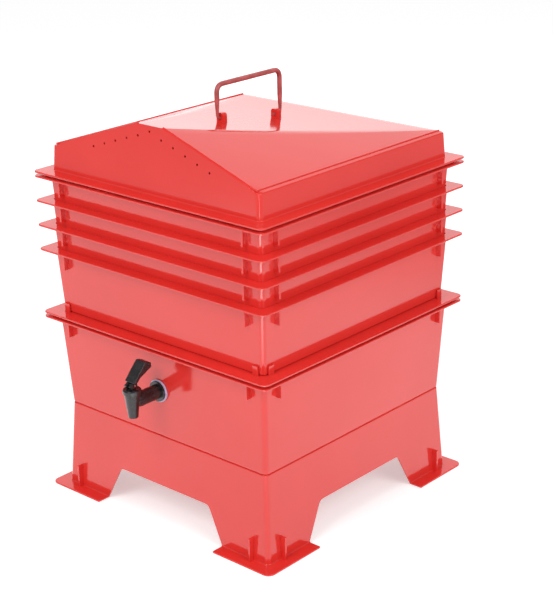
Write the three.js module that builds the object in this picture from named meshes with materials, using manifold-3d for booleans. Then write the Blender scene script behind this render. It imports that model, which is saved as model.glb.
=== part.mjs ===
// Wormery: four nested working trays over a sump tray with a lever tap, a stand with four feet,
// a drain plate between the sump and the lowest tray, and a house-shaped lid with a rod handle.
// Millimetres, +Z up. The tap and the lid's gable face -Y.
// Origin: bottom centre of the whole object's box, on the floor.

import * as THREE from 'three';
import { mergeGeometries, mergeVertices } from 'three/addons/utils/BufferGeometryUtils.js';
import Module from 'manifold-3d';

const wasm = await Module();
wasm.setup();

// Clearances and cutting
const seatGap = 0.3; // between pieces that rest on or in each other
const cutOverrun = 1; // how far a cutting tool runs past the face it cuts
const rootOverlap = 0.6; // how deep a rib or boss runs into the wall that carries it
const quarterTurnDegrees = 90;

// Flanges and tapered walls, shared by the trays, the sump and the lid
const footprint = 500; // across the square flanges
const flangeWidth = 19; // from a wall's outside to the flange's edge
const flangeThickness = 3;
const flangeCornerRadius = 14;
const wallThickness = 2;
const wallCornerRadius = 8;
const nestPitch = 41.4; // height that each nested tray adds to the stack
const nestClearance = 0.25; // between the walls of two nested trays
const wallDraft = (wallThickness + nestClearance) / nestPitch; // lean per unit of height
const rimHalf = footprint / 2 - flangeWidth;
const mouthHalf = rimHalf - wallThickness;

// Gusset ribs under the flanges
const ribFromEdge = 49.5; // from the flange's edge to the middle of the rib beside the corner
const ribThickness = 4;
const ribHeight = 29;
const ribSetback = 11; // from the rib's outer end to the flange's edge

// Working trays
const trayCount = 4;
const trayDepth = 110;
const trayBaseThickness = 2.5;
const drainHoleRows = 6;
const drainHolePitch = 66;
const drainHoleRadius = 5;

// Sump tray
const sumpDepth = 159;
const sumpBaseThickness = 3;

// Stand
const standHeight = 151.7;
const standWall = 2.5;
const standSplay = 9.6; // how far the foot of a wall stands out past its top
const deckThickness = 3;
const deckRibCount = 3;
const deckRibDepth = 18;
const deckRibThickness = 2.5;
const plateauHeight = 4; // raised middle of the deck, which enters the recess under the sump
const plateauInset = 24; // from the stand's side to the plateau's side
const plateauClearance = 0.8;
const footFlangeWidth = 22;
const footRibFromEdge = 55;
const footRibHeight = 39;
const footRibSetback = 14;
const archHeight = 64;
const archTopHalf = 101;
const archFootHalf = 134;
const archCornerRadius = 6;

// Seat of the lid and of the drain plate on the rim below
const rimBeadHeight = 4.3;
const rimBeadWidth = 3;
const rimBeadFromEdge = 11;
const skirtDepth = 12; // how far the skirt hangs below the plate that carries it
const skirtThickness = 2;
const skirtClearance = 1.6;

// Lugs on the drain plate that hold the foot of the lowest tray
const lugFromCorner = 14; // from the tray's corner to the middle of the lug
const lugWidth = 11;
const lugHeight = 15.5;
const lugThickness = 3;
const lugClearance = 0.5;

// Lid
const lidSetback = 1.4; // from the mouth of the tray below to the outside of the lid's wall
const lidWall = 2.5;
const lidWallHeight = 47.3; // from the flange's underside to the eave
const gableRise = 63;
const peakHalf = 27;
const creaseEndStep = 4; // from the crease's back end to the foot of the side slope
const roofSag = 4; // dip of the creases half way back
const roofStations = 7;
const ventsPerSide = 5;
const ventPitch = 25.2;
const ventRadius = 2;
const ventBelowEdge = 19.5;
const peakVentBelowEdge = 10;

// Ears on the lid and the rod handle
const earSpacing = 128;
const earWidth = 15;
const earHeight = 16;
const earDepth = 9;
const earCornerRadius = 5;
const screwFromMiddle = 5; // two screws hold each ear, one on each side of its pin
const screwRadius = 1.1;
const screwBite = 9; // how far the screws reach above the roof
const screwHeadRadius = 2.4;
const screwHeadHeight = 1.8;
const pivotHeight = 7; // above the roof
const pinRadius = 2.5;
const rodRadius = 4.1;
const legGap = 1.4; // between an ear's outer face and the rod
const frontLegRise = 54.5; // from the front pivot to the middle of the bar
const pinProud = 1.5; // how far the pin stands past the ear's inner face
const legBendRadius = 6;
const gripBendRadius = 14;
const taperStart = 18; // along the rod from its end, where it begins to thicken
const taperEnd = 48;

// Tap
const tapHeight = 83; // axis above the sump's underside
const shankRadius = 10;
const shankBoreRadius = 6;
const tapHoleClearance = 0.5;
const outerWasherRadius = 19;
const outerWasherThickness = 4;
const innerWasherRadius = 17;
const innerWasherThickness = 3;
const nutAcross = 34; // across the corners
const nutThickness = 8;
const shankProud = 3; // past the nut
const tapFlangeRadius = 17;
const tapFlangeThickness = 3;
const barrelRadius = 12;
const barrelNoseRadius = 8.5;
const barrelShoulder = 13; // from the nozzle's axis to where the barrel is at its full radius
const tapStandOff = 59; // from the wall's outside to the nozzle's axis
const nozzleTipRadius = 7.8;
const bodyTopRadius = 12.8;
const nozzleBelowAxis = 26;
const bodyAboveAxis = 15;
const outletRadius = 4.6;
const outletLength = 12;
const chamberRadius = 7.6;
const bonnetRadius = 15;
const bonnetThickness = 8;
const bonnetPlugLength = 5;
const stemRadius = 2.5;
const stemFlangeRadius = 6.2;
const stemFlangeThickness = 1.4;
const cupRadius = 6.6;
const cupHeight = 8;
const cupFloor = 2.4;
const springWireRadius = 0.5;
const springRadius = 4.6;
const springTurns = 6;
const leverPinRadius = 1.5;
const eyeRadius = 3.6;
const eyeWidth = 5;
const camRadius = 5.6;
const camLift = 3.2; // how far the lever's whole turn lifts the stem
const leverTurnDegrees = 70;
const camOverturnDegrees = 8; // how far the cam goes on past the lever's whole turn
const leverRootRise = 1.8; // of the arm's root above the pin
const hubWidth = 15;
const leverWidth = 22;
const leverLeanDegrees = 42.6; // from upright, towards the wall
const leverFaceOffset = 5.8;
const leverFaceLength = 38.8;
const leverCrown = 4.9;
const leverTipThickness = 16.5;
const leverNeckLength = 12.7;
const leverNeckThickness = 5.7;

// Facets
const cornerSteps = 4;
const roundSides = 24;
const smallSides = 16;
const holeSides = 6;
const ventSides = 8;
const rodSides = 10;
const rodSteps = 5;
const springSides = 5;
const springStepsPerTurn = 8;
const camSteps = 10;

// Heights of the stack
const sumpBottom = standHeight + seatGap;
const sumpRim = sumpBottom + sumpDepth;
const plateUnderside = sumpRim + seatGap + rimBeadHeight;
const plateTop = plateUnderside + flangeThickness;
const lowestTrayBottom = plateTop + seatGap;
const topTrayRim = lowestTrayBottom + (trayCount - 1) * nestPitch + trayDepth;
const lidFlangeUnderside = topTrayRim + seatGap + rimBeadHeight;

// Widths that follow from the sizes above
const trayFootHalf = rimHalf - wallDraft * trayDepth;
const sumpFootHalf = rimHalf - wallDraft * sumpDepth;
const standTopHalf = sumpFootHalf;
const standFootHalf = standTopHalf + standSplay;
const standDraft = standSplay / standHeight;
const footFlangeHalf = standFootHalf + footFlangeWidth;
const lidHalf = mouthHalf - lidSetback;
const eaveHalf = lidHalf - wallDraft * lidWallHeight;
const slopeFootHalf = eaveHalf - wallCornerRadius;
const tapWallHalf = sumpFootHalf + wallDraft * tapHeight;
const nozzleReach = tapWallHalf + tapStandOff;

// Materials
const redPlastic = { color: 0xd53a36, roughness: 0.28, metalness: 0 };
const redRod = { color: 0xbd4a4c, roughness: 0.4, metalness: 0 };
const blackPlastic = { color: 0x1d1c1e, roughness: 0.35, metalness: 0 };
const clearRubber = { color: 0xb7b0dc, roughness: 0.2, metalness: 0 };
const paleRubber = { color: 0xe4dfd4, roughness: 0.5, metalness: 0 };
const steel = { color: 0xb9bcc0, roughness: 0.3, metalness: 1 };

// Solids and booleans

function solidOf(geometry) {
  const bare = geometry.clone();
  bare.deleteAttribute('normal');
  bare.deleteAttribute('uv');
  const merged = mergeVertices(bare);
  const vertProperties = Float32Array.from(merged.attributes.position.array);
  const triVerts = Uint32Array.from(merged.index.array);
  return new wasm.Manifold(new wasm.Mesh({ numProp: 3, vertProperties, triVerts }));
}

function geometryOf(solid) {
  const mesh = solid.getMesh();
  const geometry = new THREE.BufferGeometry();
  geometry.setAttribute('position', new THREE.BufferAttribute(mesh.vertProperties, mesh.numProp));
  geometry.setIndex(new THREE.BufferAttribute(mesh.triVerts, 1));
  geometry.computeVertexNormals();
  return geometry;
}

function sumOf(solids) {
  return solids.reduce((whole, next) => whole.add(next));
}

// Rings of equally many points, joined side by side and closed by a fan at each end.
function loft(rings) {
  const count = rings[0].length;
  const points = rings.flat();
  const faces = [];
  for (let ring = 0; ring < rings.length - 1; ring += 1) {
    for (let i = 0; i < count; i += 1) {
      const a = ring * count + i;
      const b = ring * count + ((i + 1) % count);
      faces.push(a, b, b + count, a, b + count, a + count);
    }
  }
  const last = (rings.length - 1) * count;
  const ends = [rings[0], rings[rings.length - 1]].map((ring) => middleOf(ring));
  for (let i = 0; i < count; i += 1) {
    const next = (i + 1) % count;
    faces.push(points.length, next, i);
    faces.push(points.length + 1, last + i, last + next);
  }
  const geometry = new THREE.BufferGeometry().setFromPoints(points.concat(ends));
  geometry.setIndex(faces);
  return geometry;
}

function middleOf(points) {
  const sum = new THREE.Vector3();
  points.forEach((point) => sum.add(point));
  return sum.divideScalar(points.length);
}

function boxBetween(low, high) {
  const size = new THREE.Vector3().subVectors(high, low);
  const centre = new THREE.Vector3().addVectors(high, low).divideScalar(2);
  const box = new THREE.BoxGeometry(size.x, size.y, size.z);
  return solidOf(box.translate(centre.x, centre.y, centre.z));
}

// A cone frustum from one point to another.
function coneBetween(start, end, startRadius, endRadius, sides) {
  const along = new THREE.Vector3().subVectors(end, start);
  const rod = new THREE.CylinderGeometry(endRadius, startRadius, along.length(), sides);
  const turn = new THREE.Quaternion();
  turn.setFromUnitVectors(new THREE.Vector3(0, 1, 0), along.clone().normalize());
  const centre = new THREE.Vector3().addVectors(start, end).divideScalar(2);
  return solidOf(rod.applyQuaternion(turn).translate(centre.x, centre.y, centre.z));
}

function rodBetween(start, end, radius, sides) {
  return coneBetween(start, end, radius, radius, sides);
}

// A turned solid about an upright axis, from [radius, height] pairs that close on the axis.
function turned(profile, sides) {
  const points = profile.map(([radius, height]) => new THREE.Vector2(radius, height));
  const lathe = new THREE.LatheGeometry(points, sides);
  lathe.rotateX(Math.PI / 2);
  return solidOf(lathe);
}

// Squares with round corners

function squareRing(half, radius, height) {
  const ring = [];
  for (let corner = 0; corner < 4; corner += 1) {
    const start = (corner * Math.PI) / 2;
    const middle = start + Math.PI / 4;
    const reach = (half - radius) * Math.SQRT2;
    for (let step = 0; step <= cornerSteps; step += 1) {
      const angle = start + (step / cornerSteps) * (Math.PI / 2);
      const x = reach * Math.cos(middle) + radius * Math.cos(angle);
      const y = reach * Math.sin(middle) + radius * Math.sin(angle);
      ring.push(new THREE.Vector3(x, y, height));
    }
  }
  return ring;
}

function squareBlock(lowHalf, highHalf, radius, bottom, top) {
  return solidOf(loft([squareRing(lowHalf, radius, bottom), squareRing(highHalf, radius, top)]));
}

function squareBand(outerHalf, thickness, radius, bottom, top) {
  const outer = squareBlock(outerHalf, outerHalf, radius, bottom, top);
  const innerHalf = outerHalf - thickness;
  const low = bottom - cutOverrun;
  const high = top + cutOverrun;
  return outer.subtract(squareBlock(innerHalf, innerHalf, radius - thickness, low, high));
}

// Copies of a solid at the four sides of the square, each a quarter turn on.
function onFourSides(solid) {
  return sumOf([0, 1, 2, 3].map((side) => solid.rotate([0, 0, side * quarterTurnDegrees])));
}

// A pair of boxes on the +X side, beside its two corners.
function pairOnSide(innerX, outerX, offset, thickness, bottom, top) {
  const pair = [-offset, offset].map((middle) => {
    const low = new THREE.Vector3(innerX, middle - thickness / 2, bottom);
    const high = new THREE.Vector3(outerX, middle + thickness / 2, top);
    return boxBetween(low, high);
  });
  return sumOf(pair);
}

function drainHoles(bottom, top) {
  const holes = [];
  const middleRow = (drainHoleRows - 1) / 2;
  for (let row = 0; row < drainHoleRows; row += 1) {
    for (let column = 0; column < drainHoleRows; column += 1) {
      const height = top - bottom + 2 * cutOverrun;
      const hole = new THREE.CylinderGeometry(drainHoleRadius, drainHoleRadius, height, holeSides);
      hole.rotateX(Math.PI / 2);
      const x = (column - middleRow) * drainHolePitch;
      const y = (row - middleRow) * drainHolePitch;
      holes.push(hole.translate(x, y, (top + bottom) / 2));
    }
  }
  return solidOf(mergeGeometries(holes));
}

// Trays

// A tapered open box with a flange round its mouth and a rib pair beside each corner.
function taperedTray(depth, baseThickness, raisedFloor) {
  const footHalf = rimHalf - wallDraft * depth;
  const flangeHalf = footprint / 2;
  const flangeBottom = depth - flangeThickness;
  const wall = squareBlock(footHalf, rimHalf, wallCornerRadius, 0, depth);
  const flange = squareBlock(flangeHalf, flangeHalf, flangeCornerRadius, flangeBottom, depth);
  const ribRootX = rimHalf - wallDraft * (flangeThickness + ribHeight) - rootOverlap;
  const ribs = onFourSides(pairOnSide(
    ribRootX,
    flangeHalf - ribSetback,
    flangeHalf - ribFromEdge,
    ribThickness,
    flangeBottom - ribHeight,
    flangeBottom + rootOverlap,
  ));
  const cavityFootHalf = footHalf + wallDraft * baseThickness - wallThickness;
  const cavityRimHalf = mouthHalf + wallDraft * cutOverrun;
  const innerRadius = wallCornerRadius - wallThickness;
  const cavityTop = depth + cutOverrun;
  let cavity = squareBlock(cavityFootHalf, cavityRimHalf, innerRadius, baseThickness, cavityTop);
  if (raisedFloor) cavity = cavity.subtract(raisedFloor);
  return sumOf([wall, flange, ribs]).subtract(cavity);
}

function workingTray() {
  const tray = taperedTray(trayDepth, trayBaseThickness, null);
  return tray.subtract(drainHoles(0, trayBaseThickness));
}

function sumpTray() {
  const plateauHalf = standTopHalf - plateauInset;
  const recessHalf = plateauHalf + plateauClearance;
  const recessTop = plateauHeight + plateauClearance;
  const floorHalf = recessHalf + sumpBaseThickness;
  const floorTop = recessTop + sumpBaseThickness;
  const raisedFloor = squareBlock(floorHalf, floorHalf, wallCornerRadius, 0, floorTop);
  const recess = squareBlock(recessHalf, recessHalf, wallCornerRadius, -cutOverrun, recessTop);
  const tapHole = rodBetween(
    new THREE.Vector3(0, -tapWallHalf - wallThickness, tapHeight),
    new THREE.Vector3(0, -tapWallHalf + 2 * wallThickness, tapHeight),
    shankRadius + tapHoleClearance,
    roundSides,
  );
  return taperedTray(sumpDepth, sumpBaseThickness, raisedFloor).subtract(recess).subtract(tapHole);
}

// Skirt that hangs in the mouth below and bead that rests on the flange below, under height 0.
function rimSeat() {
  const skirtHalf = mouthHalf - skirtClearance;
  const skirtRadius = wallCornerRadius - wallThickness;
  const beadHalf = footprint / 2 - rimBeadFromEdge;
  const beadRadius = flangeCornerRadius - rimBeadWidth;
  const skirt = squareBand(skirtHalf, skirtThickness, skirtRadius, -skirtDepth, rootOverlap);
  const bead = squareBand(beadHalf, rimBeadWidth, beadRadius, -rimBeadHeight, rootOverlap);
  return skirt.add(bead);
}

function drainPlate() {
  const plateHalf = footprint / 2;
  const plate = squareBlock(plateHalf, plateHalf, flangeCornerRadius, 0, flangeThickness);
  const lugInner = trayFootHalf + wallDraft * lugHeight + lugClearance;
  const lugs = onFourSides(pairOnSide(
    lugInner,
    lugInner + lugThickness,
    trayFootHalf - lugFromCorner,
    lugWidth,
    flangeThickness - rootOverlap,
    flangeThickness + lugHeight,
  ));
  return sumOf([plate, rimSeat(), lugs]).subtract(drainHoles(0, flangeThickness));
}

// Stand

function archCut() {
  const shape = new THREE.Shape();
  const slope = (archFootHalf - archTopHalf) / archHeight;
  const lowHalf = archFootHalf + slope * cutOverrun;
  const bend = archCornerRadius;
  shape.moveTo(-lowHalf, -cutOverrun);
  shape.lineTo(lowHalf, -cutOverrun);
  shape.lineTo(archTopHalf + slope * bend, archHeight - bend);
  shape.quadraticCurveTo(archTopHalf, archHeight, archTopHalf - bend, archHeight);
  shape.lineTo(-archTopHalf + bend, archHeight);
  shape.quadraticCurveTo(-archTopHalf, archHeight, -archTopHalf - slope * bend, archHeight - bend);
  const length = 2 * (footFlangeHalf + cutOverrun);
  const settings = { depth: length, bevelEnabled: false, curveSegments: cornerSteps };
  const prism = new THREE.ExtrudeGeometry(shape, settings);
  prism.rotateX(Math.PI / 2).translate(0, length / 2, 0);
  return solidOf(prism);
}

function deckRibs() {
  const top = standHeight - deckThickness + rootOverlap;
  const bottom = standHeight - deckThickness - deckRibDepth;
  const reach = standTopHalf + standDraft * (standHeight - bottom) - standWall + rootOverlap;
  const pitch = (2 * standTopHalf) / (deckRibCount + 1);
  const ribs = [];
  for (let i = 0; i < deckRibCount; i += 1) {
    const middle = (i - (deckRibCount - 1) / 2) * pitch;
    const low = new THREE.Vector3(-reach, middle - deckRibThickness / 2, bottom);
    const high = new THREE.Vector3(reach, middle + deckRibThickness / 2, top);
    const rib = boxBetween(low, high);
    ribs.push(rib, rib.rotate([0, 0, quarterTurnDegrees]));
  }
  return sumOf(ribs);
}

function stand() {
  const shell = squareBlock(standFootHalf, standTopHalf, wallCornerRadius, 0, standHeight);
  const flangeRadius = wallCornerRadius + footFlangeWidth / 2;
  const flange = squareBlock(footFlangeHalf, footFlangeHalf, flangeRadius, 0, flangeThickness);
  const plateauHalf = standTopHalf - plateauInset;
  const plateauBottom = standHeight - rootOverlap;
  const plateauTop = standHeight + plateauHeight;
  const plateauRadius = wallCornerRadius;
  const plateau = squareBlock(plateauHalf, plateauHalf, plateauRadius, plateauBottom, plateauTop);
  const ribRootX = standFootHalf - standDraft * (flangeThickness + footRibHeight) - rootOverlap;
  const footRibs = onFourSides(pairOnSide(
    ribRootX,
    footFlangeHalf - footRibSetback,
    footFlangeHalf - footRibFromEdge,
    ribThickness,
    flangeThickness - rootOverlap,
    flangeThickness + footRibHeight,
  ));
  const cavityTop = standHeight - deckThickness;
  const cavityLowHalf = standFootHalf + standDraft * cutOverrun - standWall;
  const cavityTopHalf = standTopHalf + standDraft * deckThickness - standWall;
  const innerRadius = wallCornerRadius - standWall;
  const cavity = squareBlock(cavityLowHalf, cavityTopHalf, innerRadius, -cutOverrun, cavityTop);
  const hollow = sumOf([shell, flange, plateau, footRibs]).subtract(cavity);
  const arch = archCut();
  const crossArch = arch.rotate([0, 0, quarterTurnDegrees]);
  return hollow.add(deckRibs()).subtract(arch).subtract(crossArch);
}

// Lid

// Share of the way from the gable to the back end of the creases.
function shareBack(y) {
  return THREE.MathUtils.clamp((y + eaveHalf) / (eaveHalf + slopeFootHalf), 0, 1);
}

function creaseHalf(y) {
  return THREE.MathUtils.lerp(peakHalf, slopeFootHalf - creaseEndStep, shareBack(y));
}

// Height of the roof's middle above the lid flange's underside.
function roofHeight(y) {
  const share = shareBack(y);
  const sag = 4 * roofSag * share * (1 - share);
  return lidWallHeight + gableRise * (1 - share) - sag;
}

// Height of the gable's upper edge at a distance from the middle.
function gableEdgeHeight(x) {
  const share = THREE.MathUtils.clamp((Math.abs(x) - peakHalf) / (slopeFootHalf - peakHalf), 0, 1);
  return lidWallHeight + gableRise * (1 - share);
}

function roofRing(y, drop) {
  const root = lidWallHeight - drop - rootOverlap;
  const eave = lidWallHeight - drop;
  const crease = roofHeight(y) - drop;
  const outline = [
    [-slopeFootHalf, root],
    [-slopeFootHalf, eave],
    [-creaseHalf(y), crease],
    [creaseHalf(y), crease],
    [slopeFootHalf, eave],
    [slopeFootHalf, root],
  ];
  return outline.map(([x, z]) => new THREE.Vector3(x, y, z));
}

// The lid's outer form, or the same form inside it: walls up to the eave and the roof above them.
function houseForm(wallInset, bottom) {
  const low = lidHalf - wallInset - wallDraft * bottom;
  const top = lidWallHeight + gableRise + cutOverrun;
  const high = lidHalf - wallInset - wallDraft * top;
  const eave = lidWallHeight - wallInset;
  const middle = lidHalf - wallInset - wallDraft * eave;
  const radius = wallCornerRadius - wallInset;
  const rings = [roofRing(-lidHalf - cutOverrun, wallInset)];
  for (let i = 0; i < roofStations; i += 1) {
    const y = THREE.MathUtils.lerp(-eaveHalf, slopeFootHalf, i / (roofStations - 1));
    rings.push(roofRing(y, wallInset));
  }
  const roof = solidOf(loft(rings)).intersect(squareBlock(low, high, radius, bottom, top));
  return squareBlock(low, middle, radius, bottom, eave).add(roof);
}

function pivotPoint(side) {
  const y = (side * earSpacing) / 2;
  return new THREE.Vector3(0, y, roofHeight(y) + pivotHeight);
}

function pivotDirection() {
  return new THREE.Vector3().subVectors(pivotPoint(1), pivotPoint(-1)).normalize();
}

// The ear's foot follows the roof.
function ear(side) {
  const y = (side * earSpacing) / 2;
  const top = roofHeight(y) + earHeight;
  const half = earWidth / 2;
  const shoulder = top - earCornerRadius;
  const shape = new THREE.Shape();
  shape.moveTo(-half, lidWallHeight);
  shape.lineTo(half, lidWallHeight);
  shape.lineTo(half, shoulder);
  shape.absarc(half - earCornerRadius, shoulder, earCornerRadius, 0, Math.PI / 2);
  shape.lineTo(-half + earCornerRadius, top);
  shape.absarc(-half + earCornerRadius, shoulder, earCornerRadius, Math.PI / 2, Math.PI);
  const settings = { depth: earDepth, bevelEnabled: false, curveSegments: cornerSteps };
  const block = new THREE.ExtrudeGeometry(shape, settings);
  block.rotateX(Math.PI / 2).translate(0, y + earDepth / 2, 0);
  const along = pivotDirection().multiplyScalar(earDepth);
  const start = pivotPoint(side).sub(along);
  const end = pivotPoint(side).add(along);
  const pinHole = rodBetween(start, end, pinRadius + seatGap, smallSides);
  const blindHoles = screwHoles(side, screwBite + seatGap);
  return solidOf(block).subtract(houseForm(-seatGap, 0)).subtract(pinHole).subtract(blindHoles);
}

// An upright rod beside an ear's pin, from under the roof up to a height above the roof.
function screwRod(side, hand, radius, reach) {
  const x = hand * screwFromMiddle;
  const y = (side * earSpacing) / 2;
  const low = new THREE.Vector3(x, y, screwHeadTop(side) - rootOverlap);
  const high = new THREE.Vector3(x, y, roofHeight(y) + reach);
  return rodBetween(low, high, radius, ventSides);
}

function screwHoles(side, reach) {
  return sumOf([-1, 1].map((hand) => screwRod(side, hand, screwRadius + seatGap, reach)));
}

// The lowest roof over the screw's head sets how high the head's top may be.
function screwHeadTop(side) {
  const y = (side * earSpacing) / 2 + screwHeadRadius;
  return roofHeight(y) - lidWall - seatGap;
}

function earScrew(side, hand) {
  const x = hand * screwFromMiddle;
  const y = (side * earSpacing) / 2;
  const top = screwHeadTop(side);
  const low = new THREE.Vector3(x, y, top - screwHeadHeight);
  const high = new THREE.Vector3(x, y, top);
  const head = rodBetween(low, high, screwHeadRadius, ventSides);
  return head.add(screwRod(side, hand, screwRadius, screwBite));
}

function ventHoles() {
  const holes = [];
  for (let i = -ventsPerSide; i <= ventsPerSide; i += 1) {
    const x = i * ventPitch;
    const below = i === 0 ? peakVentBelowEdge : ventBelowEdge;
    const z = gableEdgeHeight(x) - below;
    const start = new THREE.Vector3(x, -lidHalf - cutOverrun, z);
    const end = new THREE.Vector3(x, -eaveHalf + 2 * lidWall + gableRise * wallDraft, z);
    holes.push(rodBetween(start, end, ventRadius, ventSides));
  }
  return sumOf(holes);
}

function lid() {
  const flangeHalf = footprint / 2;
  const flange = squareBlock(flangeHalf, flangeHalf, flangeCornerRadius, 0, flangeThickness);
  const shell = houseForm(0, 0).add(flange).subtract(houseForm(lidWall, -cutOverrun));
  const holes = sumOf([ventHoles(), screwHoles(-1, cutOverrun), screwHoles(1, cutOverrun)]);
  return shell.add(rimSeat()).subtract(holes);
}

// Rod handle

function rodRadiusAt(distance) {
  const share = THREE.MathUtils.smoothstep(distance, taperStart, taperEnd);
  return THREE.MathUtils.lerp(pinRadius, rodRadius, share);
}

// The spot at a distance from one point towards another.
function spotTowards(from, to, distance) {
  const along = new THREE.Vector3().subVectors(to, from).normalize();
  return from.clone().addScaledVector(along, distance);
}

// The rod's centre line in the plane x = 0, from one pin's inner end to the other's.
function handlePath() {
  const axis = pivotDirection();
  const legOffset = earDepth / 2 + legGap + rodRadius;
  const corners = [-1, 1].map((side) => {
    const pivot = pivotPoint(side);
    const outward = axis.clone().multiplyScalar(side);
    const inner = pivot.clone().addScaledVector(outward, -earDepth / 2 - pinProud);
    const foot = pivot.clone().addScaledVector(outward, legOffset);
    return { inner, foot };
  });
  const barHeight = pivotPoint(-1).z + frontLegRise;
  const [front, rear] = corners;
  const frontTop = new THREE.Vector3(0, front.foot.y, barHeight);
  const rearTop = new THREE.Vector3(0, rear.foot.y, barHeight);
  const points = [front.inner, front.foot, frontTop, rearTop, rear.foot, rear.inner];
  const bends = [0, legBendRadius, gripBendRadius, gripBendRadius, legBendRadius, 0];
  const path = new THREE.CurvePath();
  let from = points[0];
  for (let i = 1; i < points.length - 1; i += 1) {
    const before = spotTowards(points[i], points[i - 1], bends[i]);
    const after = spotTowards(points[i], points[i + 1], bends[i]);
    path.add(new THREE.LineCurve3(from, before));
    path.add(new THREE.QuadraticBezierCurve3(before, points[i], after));
    from = after;
  }
  path.add(new THREE.LineCurve3(from, points[points.length - 1]));
  return path;
}

function handleRod() {
  const path = handlePath();
  const total = path.getLength();
  const sideways = new THREE.Vector3(1, 0, 0);
  const rings = [];
  let done = 0;
  path.curves.forEach((curve, index) => {
    const first = index === 0 ? 0 : 1;
    for (let step = first; step <= rodSteps; step += 1) {
      const share = step / rodSteps;
      const point = curve.getPointAt(share);
      const along = curve.getTangentAt(share);
      const upward = new THREE.Vector3().crossVectors(sideways, along);
      const distance = done + share * curve.getLength();
      const radius = rodRadiusAt(Math.min(distance, total - distance));
      const ring = [];
      for (let i = 0; i < rodSides; i += 1) {
        const angle = (i / rodSides) * 2 * Math.PI;
        const spot = point.clone();
        spot.addScaledVector(upward, radius * Math.cos(angle));
        spot.addScaledVector(sideways, radius * Math.sin(angle));
        ring.push(spot);
      }
      rings.push(ring);
    }
    done += curve.getLength();
  });
  return solidOf(loft(rings));
}

// Tap, in a frame whose origin is where the tap's axis meets the nozzle's axis

const tapFlangeBack = tapStandOff - outerWasherThickness;
const tapFlangeFront = tapFlangeBack - tapFlangeThickness;
const shankEnd = tapStandOff + wallThickness + innerWasherThickness + nutThickness + shankProud;
const seatHeight = outletLength - nozzleBelowAxis;
const bonnetBottom = bodyAboveAxis + seatGap;
const bonnetTop = bonnetBottom + bonnetThickness;
const plugBottom = bonnetBottom - bonnetPlugLength;
const cupBottom = seatHeight + seatGap;
const cupTop = cupBottom + cupHeight;
const stemFlangeTop = cupTop + seatGap + stemFlangeThickness;
const pinHeight = bonnetTop + seatGap + camRadius;

// Seen as (y, z) about the pin. It presses on the bonnet's flat top, and its height above that
// top grows evenly with the lever's turn.
function camOutline() {
  const growth = camLift / THREE.MathUtils.degToRad(leverTurnDegrees);
  const sweep = THREE.MathUtils.degToRad(leverTurnDegrees + camOverturnDegrees);
  const outline = [];
  for (let i = 0; i <= camSteps; i += 1) {
    const angle = (i / camSteps) * Math.PI;
    outline.push(new THREE.Vector2(camRadius * Math.sin(angle), camRadius * Math.cos(angle)));
  }
  for (let i = 0; i <= camSteps; i += 1) {
    const angle = (i / camSteps) * sweep;
    const height = camRadius + growth * angle;
    const y = -height * Math.sin(angle) - growth * Math.cos(angle);
    const z = -height * Math.cos(angle) + growth * Math.sin(angle);
    outline.push(new THREE.Vector2(y, z));
  }
  return outline.reverse();
}

function tapBody() {
  const body = turned([
    [0, -nozzleBelowAxis],
    [nozzleTipRadius, -nozzleBelowAxis],
    [bodyTopRadius, bodyAboveAxis],
    [0, bodyAboveAxis],
  ], roundSides);
  const centre = new THREE.Vector3();
  const flangeFront = new THREE.Vector3(0, tapFlangeFront, 0);
  const flangeBack = new THREE.Vector3(0, tapFlangeBack, 0);
  const end = new THREE.Vector3(0, shankEnd, 0);
  const pastEnd = new THREE.Vector3(0, shankEnd + cutOverrun, 0);
  const shoulder = new THREE.Vector3(0, barrelShoulder, 0);
  const neck = coneBetween(centre, shoulder, barrelNoseRadius, barrelRadius, roundSides);
  const barrel = rodBetween(shoulder, flangeFront, barrelRadius, roundSides);
  const flange = rodBetween(flangeFront, flangeBack, tapFlangeRadius, roundSides);
  const shank = rodBetween(flangeFront, end, shankRadius, roundSides);
  const inlet = rodBetween(centre, pastEnd, shankBoreRadius, smallSides);
  const chamber = turned([
    [0, -nozzleBelowAxis - cutOverrun],
    [outletRadius, -nozzleBelowAxis - cutOverrun],
    [outletRadius, seatHeight],
    [chamberRadius, seatHeight],
    [chamberRadius, bodyAboveAxis + cutOverrun],
    [0, bodyAboveAxis + cutOverrun],
  ], roundSides);
  return sumOf([body, neck, barrel, flange, shank]).subtract(inlet).subtract(chamber);
}

function tapBonnet() {
  const plugRadius = chamberRadius - seatGap;
  const hole = stemRadius + seatGap;
  return turned([
    [hole, plugBottom],
    [plugRadius, plugBottom],
    [plugRadius, bonnetBottom],
    [bonnetRadius, bonnetBottom],
    [bonnetRadius, bonnetTop],
    [hole, bonnetTop],
    [hole, plugBottom],
  ], roundSides);
}

function tapStem() {
  const rod = turned([
    [0, cupBottom + cupFloor + seatGap],
    [stemRadius, cupBottom + cupFloor + seatGap],
    [stemRadius, cupTop + seatGap],
    [stemFlangeRadius, cupTop + seatGap],
    [stemFlangeRadius, stemFlangeTop],
    [stemRadius, stemFlangeTop],
    [stemRadius, pinHeight],
    [0, pinHeight],
  ], smallSides);
  const left = new THREE.Vector3(-eyeWidth / 2, 0, pinHeight);
  const right = new THREE.Vector3(eyeWidth / 2, 0, pinHeight);
  const eye = rodBetween(left, right, eyeRadius, smallSides);
  const pinHole = rodBetween(
    new THREE.Vector3(-eyeWidth, 0, pinHeight),
    new THREE.Vector3(eyeWidth, 0, pinHeight),
    leverPinRadius + seatGap,
    smallSides,
  );
  return rod.add(eye).subtract(pinHole);
}

function tapSeatCup() {
  const bore = stemRadius + seatGap;
  return turned([
    [0, cupBottom],
    [cupRadius, cupBottom],
    [cupRadius, cupTop],
    [bore, cupTop],
    [bore, cupBottom + cupFloor],
    [0, cupBottom + cupFloor],
  ], smallSides);
}

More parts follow.
